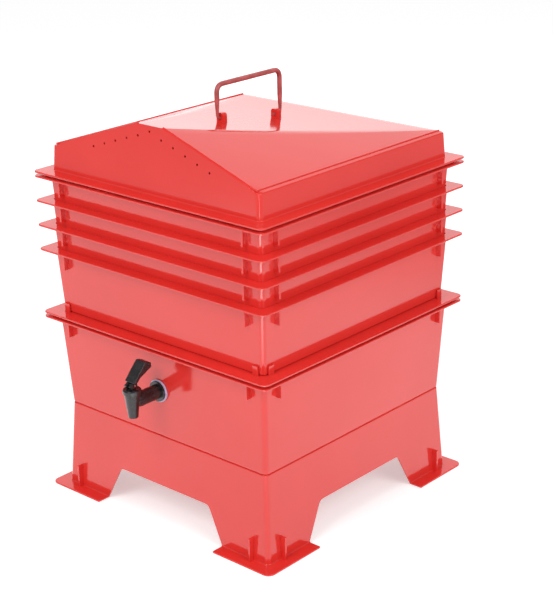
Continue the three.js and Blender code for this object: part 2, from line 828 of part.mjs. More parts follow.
function tapSpring() {
  const low = stemFlangeTop + seatGap + springWireRadius;
  const high = plugBottom - seatGap - springWireRadius;
  const steps = springTurns * springStepsPerTurn;
  const climb = (high - low) / (springTurns * 2 * Math.PI * springRadius);
  const rings = [];
  for (let step = 0; step <= steps; step += 1) {
    const share = step / steps;
    const angle = share * springTurns * 2 * Math.PI;
    const outward = new THREE.Vector3(Math.cos(angle), Math.sin(angle), 0);
    const along = new THREE.Vector3(-Math.sin(angle), Math.cos(angle), climb).normalize();
    const upward = new THREE.Vector3().crossVectors(outward, along);
    const point = outward.clone().multiplyScalar(springRadius);
    point.z = THREE.MathUtils.lerp(low, high, share);
    const ring = [];
    for (let i = 0; i < springSides; i += 1) {
      const turn = (i / springSides) * 2 * Math.PI;
      const spot = point.clone();
      spot.addScaledVector(upward, springWireRadius * Math.cos(turn));
      spot.addScaledVector(outward, springWireRadius * Math.sin(turn));
      ring.push(spot);
    }
    rings.push(ring);
  }
  return solidOf(loft(rings));
}

// An outline in the plane of the lever's swing, drawn as (y, z), given a width along X.
function plateAcross(outline, width) {
  const shape = new THREE.Shape(outline);
  const plate = new THREE.ExtrudeGeometry(shape, { depth: width, bevelEnabled: false });
  const turn = new THREE.Matrix4().makeBasis(
    new THREE.Vector3(0, 1, 0),
    new THREE.Vector3(0, 0, 1),
    new THREE.Vector3(1, 0, 0),
  );
  plate.applyMatrix4(turn).translate(-width / 2, 0, 0);
  return solidOf(plate);
}

function tapLever() {
  const lean = THREE.MathUtils.degToRad(leverLeanDegrees);
  const along = new THREE.Vector2(Math.sin(lean), Math.cos(lean));
  const back = new THREE.Vector2(Math.cos(lean), -Math.sin(lean));
  const root = new THREE.Vector2(0, leverRootRise);
  const at = (reach, depth) => root.clone().addScaledVector(along, reach).addScaledVector(back, depth);
  const face = -leverFaceOffset;
  const arm = [
    at(0, face),
    at(leverFaceLength, face),
    at(leverFaceLength + leverCrown, face + leverTipThickness - leverFaceOffset),
    at(leverFaceLength, face + leverTipThickness),
    at(leverNeckLength, face + leverNeckThickness),
    at(0, 0),
  ].reverse();
  const hub = plateAcross(camOutline(), hubWidth);
  const paddle = plateAcross(arm, leverWidth);
  const slotHalf = eyeWidth / 2 + seatGap;
  const slotReach = eyeRadius + 2 * seatGap;
  const camFront = camRadius + 2 * camLift;
  const slotLow = new THREE.Vector3(-slotHalf, -camFront, -camFront);
  const slotHigh = new THREE.Vector3(slotHalf, camRadius + cutOverrun, slotReach);
  const pinBore = rodBetween(
    new THREE.Vector3(-hubWidth, 0, 0),
    new THREE.Vector3(hubWidth, 0, 0),
    leverPinRadius + seatGap,
    smallSides,
  );
  return hub.add(paddle).subtract(boxBetween(slotLow, slotHigh)).subtract(pinBore);
}

function tapLeverPin() {
  const half = hubWidth / 2;
  return rodBetween(
    new THREE.Vector3(-half, 0, 0),
    new THREE.Vector3(half, 0, 0),
    leverPinRadius,
    smallSides,
  );
}

// The outer washer is squeezed against the leaning wall, so its back follows the wall.
function tapOuterWasher() {
  const front = new THREE.Vector3(0, tapFlangeBack + seatGap, 0);
  const back = new THREE.Vector3(0, tapStandOff + 2 * wallThickness, 0);
  const blank = rodBetween(front, back, outerWasherRadius, roundSides);
  const bore = rodBetween(
    new THREE.Vector3(0, tapFlangeBack - cutOverrun, 0),
    new THREE.Vector3(0, tapStandOff + 2 * wallThickness + cutOverrun, 0),
    shankRadius + seatGap,
    roundSides,
  );
  const wall = squareBlock(sumpFootHalf, rimHalf, wallCornerRadius, 0, sumpDepth);
  return blank.subtract(bore).subtract(wall.translate([0, nozzleReach - seatGap, -tapHeight]));
}

function tapInnerWasher() {
  const front = new THREE.Vector3(0, tapStandOff + wallThickness / 2, 0);
  const backY = tapStandOff + wallThickness + innerWasherThickness;
  const blank = rodBetween(front, new THREE.Vector3(0, backY, 0), innerWasherRadius, roundSides);
  const bore = rodBetween(
    new THREE.Vector3(0, tapStandOff, 0),
    new THREE.Vector3(0, backY + cutOverrun, 0),
    shankRadius + seatGap,
    roundSides,
  );
  const inner = wallCornerRadius - wallThickness;
  const cavity = squareBlock(sumpFootHalf - wallThickness, mouthHalf, inner, 0, sumpDepth);
  const inside = cavity.translate([0, nozzleReach + seatGap, -tapHeight]);
  return blank.subtract(bore).intersect(inside);
}

function tapLockNut() {
  const front = tapStandOff + wallThickness + innerWasherThickness + seatGap;
  const start = new THREE.Vector3(0, front, 0);
  const end = new THREE.Vector3(0, front + nutThickness, 0);
  const bore = rodBetween(
    new THREE.Vector3(0, front - cutOverrun, 0),
    new THREE.Vector3(0, front + nutThickness + cutOverrun, 0),
    shankRadius + seatGap,
    roundSides,
  );
  return rodBetween(start, end, nutAcross / 2, holeSides).subtract(bore);
}

// Assembly

function piece(name, solid, look) {
  const mesh = new THREE.Mesh(geometryOf(solid), new THREE.MeshStandardMaterial(look));
  mesh.name = name;
  return mesh;
}

function tapGroup() {
  const tap = new THREE.Group();
  tap.position.set(0, -nozzleReach, sumpBottom + tapHeight);
  const lever = new THREE.Group();
  lever.position.set(0, 0, pinHeight);
  lever.add(piece('tap_lever', tapLever(), blackPlastic));
  lever.add(piece('tap_lever_pin', tapLeverPin(), steel));
  tap.add(lever);
  tap.add(piece('tap_body', tapBody(), blackPlastic));
  tap.add(piece('tap_bonnet', tapBonnet(), blackPlastic));
  tap.add(piece('tap_stem', tapStem(), blackPlastic));
  tap.add(piece('tap_seat_cup', tapSeatCup(), paleRubber));
  tap.add(piece('tap_spring', tapSpring(), steel));
  tap.add(piece('tap_outer_washer', tapOuterWasher(), clearRubber));
  tap.add(piece('tap_inner_washer', tapInnerWasher(), paleRubber));
  tap.add(piece('tap_lock_nut', tapLockNut(), blackPlastic));
  return tap;
}

function wormery() {
  const whole = new THREE.Group();
  whole.position.y = (nozzleReach + bonnetRadius - footFlangeHalf) / 2;
  whole.add(piece('stand', stand(), redPlastic));
  const sump = piece('sump_tray', sumpTray(), redPlastic);
  sump.position.z = sumpBottom;
  whole.add(sump);
  whole.add(tapGroup());
  const plate = piece('drain_plate', drainPlate(), redPlastic);
  plate.position.z = plateUnderside;
  whole.add(plate);
  const trayForm = workingTray();
  for (let level = 0; level < trayCount; level += 1) {
    const tray = piece(`working_tray_${trayCount - level}`, trayForm, redPlastic);
    tray.position.z = lowestTrayBottom + level * nestPitch;
    whole.add(tray);
  }
  const top = new THREE.Group();
  top.position.z = lidFlangeUnderside;
  top.add(piece('lid', lid(), redPlastic));
  top.add(piece('handle_ear_front', ear(-1), redPlastic));
  top.add(piece('handle_ear_rear', ear(1), redPlastic));
  top.add(piece('ear_screw_front_left', earScrew(-1, -1), steel));
  top.add(piece('ear_screw_front_right', earScrew(-1, 1), steel));
  top.add(piece('ear_screw_rear_left', earScrew(1, -1), steel));
  top.add(piece('ear_screw_rear_right', earScrew(1, 1), steel));
  top.add(piece('handle_bail', handleRod(), redRod));
  whole.add(top);
  return whole;
}

export default wormery();
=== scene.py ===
"""Wormery: a square stack of nested trays over a sump with a lever tap, on a stand with arched
sides, under a gable lid with a rod handle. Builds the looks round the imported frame."""

import math

import bmesh
import bpy
from bpy.props import FloatProperty, FloatVectorProperty, IntProperty, PointerProperty
from mathutils import Matrix, Vector


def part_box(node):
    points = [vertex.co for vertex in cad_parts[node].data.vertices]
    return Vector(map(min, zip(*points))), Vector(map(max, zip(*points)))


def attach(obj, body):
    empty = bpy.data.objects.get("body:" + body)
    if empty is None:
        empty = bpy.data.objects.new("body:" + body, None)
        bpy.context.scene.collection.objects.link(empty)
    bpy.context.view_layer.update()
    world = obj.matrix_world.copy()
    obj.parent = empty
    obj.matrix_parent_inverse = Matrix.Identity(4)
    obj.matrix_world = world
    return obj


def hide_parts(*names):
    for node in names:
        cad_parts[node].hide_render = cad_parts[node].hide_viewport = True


bl_info = {
    "name": "Wormery builder",
    "version": (1, 0, 0),
    "blender": (4, 5, 0),
    "location": "3D View > Sidebar > Wormery",
    "description": "Builds the trays, stand, lid, handle and tap of a stacking wormery",
    "category": "Add Mesh",
}

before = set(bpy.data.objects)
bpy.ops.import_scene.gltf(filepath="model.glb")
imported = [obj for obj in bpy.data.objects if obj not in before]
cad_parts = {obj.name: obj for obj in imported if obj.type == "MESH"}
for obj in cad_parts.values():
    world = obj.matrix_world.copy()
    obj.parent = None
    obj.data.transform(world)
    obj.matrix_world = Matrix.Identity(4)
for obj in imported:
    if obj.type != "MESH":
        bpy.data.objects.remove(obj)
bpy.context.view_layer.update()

MM = 0.001
QUARTER = math.pi / 2
HANDS = (-1, 1)

# The sizes below are in millimetres, as all forms are until they are finished.
# The air under a piece that rests on another, and how far a rib reaches into what carries it
REST_GAP = 0.3
SINK = 0.4
# The stand's raised deck, and the room round it in the sump's recess
DECK_HALF, DECK_RADIUS, DECK_RISE, DECK_ROOM = 198.36, 8.0, 4.0, 0.8
# From the edge of a flat face to the loop that closes it
FLAT = 12.0
# Thickness of the bases
TRAY_BASE, SUMP_BASE = 2.5, 3.0


def corners_mm(node):
    """A CAD node's lowest and highest corners in millimetres."""
    low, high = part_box(node)
    return Vector(low) / MM, Vector(high) / MM


def middle_mm(node):
    """The middle of a CAD node's box in millimetres."""
    low, high = corners_mm(node)
    return (low + high) / 2


def on_stack(height):
    """A place over the middle of the square stack, which the tap's reach moves off the origin."""
    return Vector((0, middle_mm("lid").y, height))


def clamped(share):
    return min(1.0, max(0.0, share))


# Shapes

def by_angle(verts):
    return sorted(verts, key=lambda v: math.atan2(v.co.y, v.co.x) % math.tau)


def loop_edges(bm, loop):
    return [bm.edges.get((a, b)) for a, b in zip(loop, loop[1:] + loop[:1])]


def new_verts(made):
    """The vertices among what an operator made."""
    return [item for item in made["geom"] if isinstance(item, bmesh.types.BMVert)]


def first_loop(bm, count):
    ring = bmesh.ops.create_circle(bm, cap_ends=False, segments=count, radius=1.0)
    return by_angle(ring["verts"])


def extruded(bm, loop):
    """The vertices that a loop's extrusion adds, which are still at the loop's places."""
    return new_verts(bmesh.ops.extrude_edge_only(bm, edges=loop_edges(bm, loop)))


def cap(bm, loop):
    bmesh.ops.contextual_create(bm, geom=loop_edges(bm, loop))


def turn_outwards(bm):
    bmesh.ops.recalc_face_normals(bm, faces=bm.faces)


def round_edges(bm, edges, radius, segments=3, clamp=True):
    bmesh.ops.bevel(bm, geom=edges, offset=radius, offset_type="OFFSET", segments=segments,
                    profile=0.5, affect="EDGES", clamp_overlap=clamp, material=-1)


def place_square(loop, half, radius, height):
    """Lays a loop of 4 * (n + 1) vertices on a square with round corners."""
    steps = len(loop) // 4 - 1
    for k, vert in enumerate(loop):
        corner, step = divmod(k, steps + 1)
        angle = QUARTER * (corner + step / steps)
        turn = QUARTER * (corner + 0.5)
        reach = (half - radius) * math.sqrt(2)
        x = reach * math.cos(turn) + radius * math.cos(angle)
        y = reach * math.sin(turn) + radius * math.sin(angle)
        vert.co = (x, y, height)


def place_circle(loop, radius, height):
    for k, vert in enumerate(loop):
        angle = math.tau * k / len(loop)
        vert.co = (radius * math.cos(angle), radius * math.sin(angle), height)


def wound(rows, place, count, closed):
    """Extrudes a ring along rows of (size, ..., height, rounding) and rounds the rows that ask."""
    bm = bmesh.new()
    loop = first_loop(bm, count)
    loops = []
    for row in rows:
        if loops:
            loop = by_angle(extruded(bm, loop))
        place(loop, *row[:-1])
        loops.append(loop)
    if closed:
        bmesh.ops.bridge_loops(bm, edges=loop_edges(bm, loops[0]) + loop_edges(bm, loops[-1]))
    else:
        cap(bm, loops[0])
        cap(bm, loops[-1])
    for row, made in zip(rows, loops):
        if row[-1]:
            round_edges(bm, loop_edges(bm, made), row[-1])
    turn_outwards(bm)
    return bm


def square_form(rows, closed=False):
    """A solid from rows of (half width, corner radius, height, rounding)."""
    steps = bpy.context.scene.wormery_stack.corner_steps
    return wound(rows, place_square, 4 * (steps + 1), closed)


def round_form(rows, sides, closed=False):
    """A turned solid from rows of (radius, height, rounding)."""
    return wound(rows, place_circle, sides, closed)


def block(low, high, rounding=0.0):
    bm = bmesh.new()
    bmesh.ops.create_cube(bm, size=1.0)
    low, high = Vector(low), Vector(high)
    bmesh.ops.scale(bm, vec=high - low, verts=bm.verts)
    bmesh.ops.translate(bm, vec=(low + high) / 2, verts=bm.verts)
    if rounding:
        round_edges(bm, list(bm.edges), rounding, 2)
    return bm


def prism(outline, along):
    """An outline of points, extruded by a vector."""
    bm = bmesh.new()
    face = bm.faces.new([bm.verts.new(point) for point in outline])
    made = bmesh.ops.extrude_face_region(bm, geom=[face], use_keep_orig=True)
    bmesh.ops.translate(bm, vec=along, verts=new_verts(made))
    turn_outwards(bm)
    return bm


def side_prism(outline, half):
    """A side view as (y, z), extruded to a half width on both sides of x = 0."""
    return prism([(-half, y, z) for y, z in outline], (2 * half, 0, 0))


def aim(bm, start, direction):
    """Turns a form that stands on +Z to a direction and moves it to a start."""
    turn = Vector((0, 0, 1)).rotation_difference(Vector(direction)).to_matrix()
    bmesh.ops.transform(bm, matrix=Matrix.Translation(start) @ turn.to_4x4(), verts=bm.verts)
    return bm


def rod(start, end, radius, sides, end_radius=None, rounding=0.0):
    along = Vector(end) - Vector(start)
    tip = radius if end_radius is None else end_radius
    bm = round_form([(radius, 0, rounding), (tip, along.length, rounding)], sides)
    return aim(bm, start, along)


def pour(whole, bm, matrix=Matrix.Identity(4)):
    """Adds a copy of one bmesh to another."""
    start = len(whole.verts)
    mesh = bpy.data.meshes.new("pour")
    bm.to_mesh(mesh)
    whole.from_mesh(mesh)
    bpy.data.meshes.remove(mesh)
    whole.verts.ensure_lookup_table()
    bmesh.ops.transform(whole, matrix=matrix, verts=whole.verts[start:])


def turned_copies(bm, angles):
    """The form at each of several angles about the upright axis."""
    whole = bmesh.new()
    for angle in angles:
        pour(whole, bm, Matrix.Rotation(angle, 4, "Z"))
    bm.free()
    return whole


def joined(*forms):
    whole = bmesh.new()
    for form in forms:
        pour(whole, form)
        form.free()
    return whole


def bent(start, corner, end, steps):
    """Points round a corner, from its start to its end."""
    shares = [step / steps for step in range(steps + 1)]
    return [start.lerp(corner, share).lerp(corner.lerp(end, share), share) for share in shares]


# Pieces

def added(name, data):
    """A new object in the scene."""
    made = bpy.data.objects.new(name, data)
    bpy.context.scene.collection.objects.link(made)
    return made


def as_object(bm, name):
    mesh = bpy.data.meshes.new(name)
    bm.to_mesh(mesh)
    bm.free()
    return added(name, mesh)


def opened(piece):
    """A piece's mesh as a bmesh."""
    bm = bmesh.new()
    bm.from_mesh(piece.data)
    return bm


def settle(piece):
    """Applies a piece's modifiers."""
    graph = bpy.context.evaluated_depsgraph_get()
    mesh = bpy.data.meshes.new_from_object(piece.evaluated_get(graph), depsgraph=graph)
    piece.modifiers.clear()
    piece.data = mesh
    return piece


def combine(piece, other, operation):
    """Cuts another form from a piece, or joins it on."""
    tool = as_object(other, "tool")
    step = piece.modifiers.new("combine", "BOOLEAN")
    step.solver = "EXACT"
    step.operation = operation
    step.object = tool
    settle(piece)
    bpy.data.objects.remove(tool)
    return piece


def soften(piece, width, angle, segments=2):
    """Rounds a piece's edges that are sharper than an angle in degrees."""
    step = piece.modifiers.new("soften", "BEVEL")
    step.width = width
    step.segments = segments
    step.limit_method = "ANGLE"
    step.angle_limit = math.radians(angle)
    step.use_clamp_overlap = True
    return settle(piece)


def with_form(piece, form):
    """Adds a closed form to a piece without cutting either."""
    bm = opened(piece)
    pour(bm, form)
    form.free()
    bm.to_mesh(piece.data)
    bm.free()
    return piece


def finished(piece, name, body, node, place, slot="red_plastic"):
    """Smooths, places and dresses a piece, hangs it on its body and hides the CAD node that it
    stands for. Its mesh comes in millimetres.
    """
    touching, sharp = 0.001, math.radians(35)
    bm = opened(piece)
    bmesh.ops.remove_doubles(bm, verts=bm.verts, dist=touching)
    bmesh.ops.translate(bm, vec=place, verts=bm.verts)
    bmesh.ops.scale(bm, vec=Vector((MM, MM, MM)), verts=bm.verts)
    for face in bm.faces:
        face.smooth = True
    for edge in bm.edges:
        edge.smooth = len(edge.link_faces) == 2 and edge.calc_face_angle(0.0) < sharp
    bm.to_mesh(piece.data)
    bm.free()
    step = piece.modifiers.new("normals", "WEIGHTED_NORMAL")
    step.keep_sharp = True
    settle(piece)
    piece.name = piece.data.name = name
    piece.data.materials.clear()
    piece.data.materials.append(finish(slot))
    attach(piece, body)
    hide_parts(node)
    return piece


# Sizes and colours that a user would change

def length(name, value, description):
    return FloatProperty(name=name, description=description + ", in millimetres", default=value,
                         min=0.0)


class StackSizes(bpy.types.PropertyGroup):
    """Sizes shared by the trays, the sump and the lid."""
    footprint: length("Footprint", 500.0, "Across the square flanges")
    flange_thickness: length("Flange thickness", 3.0, "Thickness of every flange")
    flange_radius: length("Flange corner radius", 10.0, "Corner radius of the flanges")
    wall: length("Wall", 2.0, "Thickness of the tray walls")
    bead_height: length("Bead height", 4.3, "From a flange up to the lid or plate on it")
    wall_radius: length("Wall corner radius", 8.0, "Corner radius of the walls")
    rim_half: length("Rim half width", 231.0, "Half width of a wall at its rim")
    draft: FloatProperty(name="Draft", description="Lean of the walls per unit of height",
                         default=2.25 / 41.4, min=0.0)
    rib_offset: length("Rib offset", 200.5, "From the middle of a side to its corner rib")
    rib_height: length("Rib height", 29.0, "Height of the ribs under the flanges")
    rib_thickness: length("Rib thickness", 4.0, "Thickness of the ribs")
    rib_setback: length("Rib setback", 11.0, "From a rib's outer end to the flange's edge")
    hole_rows: IntProperty(name="Hole rows", default=13, min=1,
                           description="Rows of drain holes in a tray's base")
    hole_pitch: length("Hole pitch", 31.0, "Distance between drain holes")
    hole_radius: length("Hole radius", 3.5, "Radius of a drain hole")
    corner_steps: IntProperty(name="Corner steps", default=8, min=2,
                              description="Steps round each corner")


class StandSizes(bpy.types.PropertyGroup):
    """Sizes of the stand."""
    top_half: length("Top half width", 222.36, "Half width at the top")
    foot_half: length("Foot half width", 231.96, "Half width of the walls at the floor")
    flange_half: length("Foot flange half width", 253.95, "Half width of the foot flanges")
    flange_radius: length("Foot flange radius", 13.0, "Corner radius of the foot flanges")
    wall: length("Wall", 2.5, "Thickness of the walls")
    arch_height: length("Arch height", 64.0, "Height of the arches")
    arch_top_half: length("Arch top half width", 101.0, "Half width at the top of an arch")
    arch_foot_half: length("Arch foot half width", 134.0, "Half width of an arch at the floor")
    arch_radius: length("Arch corner radius", 7.0, "Radius of an arch's top corners")
    rib_height: length("Foot rib height", 39.0, "Height of the ribs on the feet")
    rib_offset: length("Foot rib offset", 198.96, "From the middle of a side to its foot rib")
    rib_setback: length("Foot rib setback", 14.0, "From a foot rib's outer end to the edge")


class LidSizes(bpy.types.PropertyGroup):
    """Sizes of the lid and its handle."""
    foot_half: length("Half width", 227.6, "Half width of the walls at the flange's underside")
    wall_height: length("Wall height", 47.3, "From the flange's underside to the eave")
    gable_rise: length("Gable rise", 63.0, "From the eave to the peak")
    peak_half: length("Peak half width", 27.0, "Half width of the gable's flat top")
    sag: length("Crease sag", 4.0, "Dip of the creases half way back")
    eave_drop: length("Eave drop", 3.0, "How far the roof turns down at its eaves")
    thickness: length("Thickness", 2.5, "Thickness of the lid")
    ear_spacing: length("Ear spacing", 128.0, "Distance between the ears")
    ear_height: length("Ear height", 16.0, "Height of the ears above the roof")
    rod_radius: length("Rod radius", 4.0, "Radius of the handle's rod")


class TapSizes(bpy.types.PropertyGroup):
    """Sizes of the tap."""
    nozzle_tip: length("Nozzle radius", 7.8, "Radius at the nozzle's tip")
    body_top: length("Body radius", 12.8, "Radius of the body under the bonnet")
    barrel: length("Barrel radius", 12.0, "Radius of the level barrel")
    lean: FloatProperty(name="Lever lean", default=42.6, min=0.0,
                        description="Degrees that the lever leans back from upright")


def colour(name, value, description):
    return FloatVectorProperty(name=name, description=description, default=value, size=3,
                               subtype="COLOR", min=0.0, max=1.0)


class Finishes(bpy.types.PropertyGroup):
    """Colours of the finishes."""
    red: colour("Moulded red", (0.80, 0.042, 0.034), "Base colour of the moulded pieces")
    red_deep: colour("Moulded red, deep", (0.75, 0.035, 0.028), "Darker drifts in the moulding")
    rod: colour("Coated rod", (0.37, 0.068, 0.068), "Coating of the handle's rod")
    black: colour("Tap black", (0.012, 0.011, 0.012), "Base colour of the tap")
    washer: colour("Clear washer", (0.66, 0.62, 0.86), "Tint of the clear washer")
    pale: colour("Pale rubber", (0.72, 0.68, 0.60), "Inner washer and seat")
    steel: colour("Steel", (0.60, 0.61, 0.63), "Spring, pin and screws")


# Materials

class Wire:
    """A socket in a node tree, with the arithmetic that shader maths needs."""

    def __init__(self, kit, socket):
        self.kit = kit
        self.socket = socket

    def maths(self, operation, first, second):
        inputs = {0: first, 1: second}
        return self.kit.node("ShaderNodeMath", inputs, {"operation": operation})

    def __add__(self, other):
        return self.maths("ADD", self, other)

    def __sub__(self, other):
        return self.maths("SUBTRACT", self, other)

    def __rsub__(self, other):
        return self.maths("SUBTRACT", other, self)

    def __mul__(self, other):
        return self.maths("MULTIPLY", self, other)

    __radd__ = __add__
    __rmul__ = __mul__


class Kit:
    """Makes the nodes of a material or a world."""

    def __init__(self, owner):
        owner.use_nodes = True
        self.owner = owner
        self.tree = owner.node_tree
        self.tree.nodes.clear()

    def node(self, kind, inputs=None, settings=None, key=0):
        """Adds a node, sets it up, links or fills its sockets and gives one of its outputs."""
        made = self.tree.nodes.new(kind)
        for name, value in (settings or {}).items():
            setattr(made, name, value)
        for name, value in (inputs or {}).items():
            if isinstance(value, Wire):
                self.tree.links.new(value.socket, made.inputs[name])
            else:
                made.inputs[name].default_value = value
        return Wire(self, made.outputs[key]) if made.outputs else None

    def coords(self):
        return self.node("ShaderNodeTexCoord", key="Object")

    def noise(self, scale, detail=3.0, roughness=0.5, stretch=None):
        vector = self.coords()
        if stretch:
            vector = self.node("ShaderNodeMapping", {"Vector": vector, "Scale": stretch})
        inputs = {"Scale": scale, "Detail": detail, "Roughness": roughness, "Vector": vector}
        return self.node("ShaderNodeTexNoise", inputs, key="Fac")

    def compared(self, operation, other):
        """A number from the place on the surface and another vector."""
        inputs = {0: self.coords(), 1: other}
        return self.node("ShaderNodeVectorMath", inputs, {"operation": operation}, "Value")

    def between(self, share, low, high):
        """A number that runs from low to high as share runs over its middle."""
        inputs = {"Value": share, "From Min": 0.3, "From Max": 0.7, "To Min": low, "To Max": high}
        return self.node("ShaderNodeMapRange", inputs, {"clamp": True})

    def fading(self, value, near, far, strength):
        """A strength that fades to nothing as a value runs from near to far."""
        inputs = {"Value": value, "From Min": near, "From Max": far, "To Min": strength,
                  "To Max": 0.0}
        return self.node("ShaderNodeMapRange", inputs, {"interpolation_type": "SMOOTHSTEP"})

    def bump(self, height, strength, distance):
        inputs = {"Height": height, "Strength": strength, "Distance": distance}
        return self.node("ShaderNodeBump", inputs)

    def surface(self, share, tones, roughness, normal, others):
        """The material, whose colour drifts between two tones as share runs over its middle."""
        first, second = tones
        # A Mix node of colours takes them in its sockets 6 and 7 and gives its output 2
        inputs = {0: self.between(share, 0.0, 1.0), 6: (*first, 1.0), 7: (*second, 1.0)}
        base = self.node("ShaderNodeMix", inputs, {"data_type": "RGBA"}, 2)
        shader = self.node("ShaderNodeBsdfPrincipled", {
            "Base Color": base, "Roughness": roughness, "Normal": normal, **others})
        self.node("ShaderNodeOutputMaterial", {"Surface": shader})
        return self.owner


def toned(colour, factor, lift=0.0):
    """A colour made darker or paler by a factor, then lifted."""
    return tuple(min(1.0, part * factor + lift) for part in colour)


def moulded_red(kit, colours):
    """Glossy moulded polypropylene, with a faint ripple and fine scuffs."""
    drift = kit.noise(5.0)
    scuff = kit.noise(160.0, detail=5.0, roughness=0.6, stretch=(1.0, 1.0, 0.12))
    ripple = kit.noise(34.0, 2.0)
    grain = kit.noise(1400.0, 2.0)
    return kit.surface(drift, (colours.red, colours.red_deep),
                       kit.between(scuff, 0.07, 0.12) + kit.between(drift, 0.0, 0.03),
                       kit.bump(ripple * 0.8 + grain * 0.12, 0.07, 0.0006), {"IOR": 1.5})


def coated_rod(kit, colours):
    """Dip-coated steel rod, a little worn."""
    skin = kit.noise(900.0)
    return kit.surface(kit.noise(60.0), (colours.rod, toned(colours.rod, 1.5, 0.03)),
                       kit.between(skin, 0.32, 0.46), kit.bump(skin, 0.12, 0.0004), {"IOR": 1.5})


def tap_black(kit, colours):
    """Black moulded plastic with a satin skin."""
    drift = kit.noise(70.0)
    return kit.surface(drift, (colours.black, toned(colours.black, 1.8, 0.004)),
                       kit.between(drift, 0.20, 0.32),
                       kit.bump(kit.noise(2200.0, 2.0), 0.10, 0.0003), {"IOR": 1.5})


def clear_washer(kit, colours):
    """Clear soft plastic with a violet tint."""
    haze = kit.noise(220.0)
    return kit.surface(haze, (colours.washer, toned(colours.washer, 1.12)),
                       kit.between(haze, 0.06, 0.16), kit.bump(haze, 0.08, 0.0004),
                       {"Transmission Weight": 0.15, "IOR": 1.45})


def pale_rubber(kit, colours):
    """Matt moulded rubber."""
    skin = kit.noise(1800.0)
    return kit.surface(kit.noise(120.0), (colours.pale, toned(colours.pale, 0.86)),
                       kit.between(skin, 0.5, 0.66), kit.bump(skin, 0.2, 0.0003), {})


def bright_steel(kit, colours):
    """Drawn steel with fine marks."""
    marks = kit.noise(900.0, detail=4.0, roughness=0.6, stretch=(1.0, 1.0, 0.08))
    return kit.surface(marks, (colours.steel, toned(colours.steel, 0.8)),
                       kit.between(marks, 0.22, 0.38), kit.bump(marks, 0.1, 0.0002),
                       {"Metallic": 1.0})


FINISH_MAKERS = {
    "red_plastic": moulded_red,
    "red_rod": coated_rod,
    "black_plastic": tap_black,
    "clear_rubber": clear_washer,
    "pale_rubber": pale_rubber,
    "steel": bright_steel,
}


def finish(slot):
    """The material of a slot, made the first time that it is asked for."""
    maker = FINISH_MAKERS[slot]
    name = maker.__name__
    found = bpy.data.materials.get(name)
    return found or maker(Kit(bpy.data.materials.new(name)), bpy.context.scene.wormery_finishes)


def dress_node(node, slot):
    """Gives a CAD node that stays its material."""
    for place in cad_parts[node].material_slots:
        place.material = finish(slot)


# Forms of the trays, the sump, the plate and the stand

def corner_ribs(inner, outer, offset, thickness, bottom, top):
    """A pair of upright plates on each side, beside the corners."""
    rounding = 0.6
    pair = [block((inner, hand * offset - thickness / 2, bottom),
                  (outer, hand * offset + thickness / 2, top), rounding) for hand in HANDS]
    return turned_copies(joined(*pair), [QUARTER * side for side in range(4)])


def wall_half(sizes, under_rim):
    """Half width of a wall's outside, some way under its rim."""
    return sizes.rim_half - sizes.draft * under_rim


def flange_ribs(sizes, depth):
    """The ribs under the flange of a tray of some depth."""
    underside = depth - sizes.flange_thickness
    lowest = underside - sizes.rib_height
    root = wall_half(sizes, depth - lowest) - sizes.wall / 2
    outer = sizes.footprint / 2 - sizes.rib_setback
    return corner_ribs(root, outer, sizes.rib_offset, sizes.rib_thickness, lowest,
                       underside + SINK)


def cup_rows(sizes, depth, base, rounding):
    """From a wall's foot up its outside, round the flange and down inside to the base."""
    half, foot = sizes.footprint / 2, wall_half(sizes, depth)
    underside = depth - sizes.flange_thickness
    inner = sizes.wall_radius - sizes.wall
    return [
        (foot, sizes.wall_radius, 0, rounding),
        (wall_half(sizes, sizes.flange_thickness), sizes.wall_radius, underside, 1.5),
        (half, sizes.flange_radius, underside, 0.6),
        (half, sizes.flange_radius, depth, 0.9),
        (sizes.rim_half - sizes.wall, inner, depth, 0.8),
        (foot + sizes.draft * base - sizes.wall, inner, base, 2.0),
    ]


def hole_grid(sizes, thickness):
    """Round rods in rows, for cutting drain holes in a base that lies on height 0."""
    past, sides = 1, 12
    whole = bmesh.new()
    one = rod((0, 0, -past), (0, 0, thickness + past), sizes.hole_radius, sides)
    middle = (sizes.hole_rows - 1) / 2
    for row in range(sizes.hole_rows):
        for column in range(sizes.hole_rows):
            spot = ((column - middle) * sizes.hole_pitch, (row - middle) * sizes.hole_pitch, 0)
            pour(whole, one, Matrix.Translation(spot))
    one.free()
    return whole


def tray_form(sizes, depth):
    """A working tray, standing on height 0."""
    cup = cup_rows(sizes, depth, TRAY_BASE, 2.5)
    foot, inside = cup[0][0], cup[-1][0]
    rows = [(foot - sizes.wall - FLAT, 4.0, 0, 0), *cup, (inside - FLAT, 3.0, TRAY_BASE, 0)]
    tray = as_object(square_form(rows), "tray")
    return combine(tray, hole_grid(sizes, TRAY_BASE), "DIFFERENCE")


def sump_form(sizes, depth):
    """The sump tray, with the recess that sits on the stand's raised deck."""
    recess, roof = DECK_HALF + DECK_ROOM, DECK_RISE + DECK_ROOM
    raised, top = recess + SUMP_BASE, roof + SUMP_BASE
    return as_object(square_form([
        (recess - FLAT, 5.0, roof, 0),
        (recess, DECK_RADIUS, roof, 1.0),
        (recess, DECK_RADIUS, 0, 0.8),
        *cup_rows(sizes, depth, SUMP_BASE, 2.2),
        (raised, DECK_RADIUS, SUMP_BASE, 1.0),
        (raised, DECK_RADIUS, top, 1.0),
        (recess - FLAT, 4.0, top, 0),
    ]), "sump")


def square_ring(half, radius, thickness, depth):
    """An upright band that hangs to a depth under height 0."""
    inner, inner_radius = half - thickness, radius - thickness
    return square_form([
        (half, radius, SINK, 0),
        (half, radius, -depth, 0.5),
        (inner, inner_radius, -depth, 0.5),
        (inner, inner_radius, SINK, 0),
    ], closed=True)


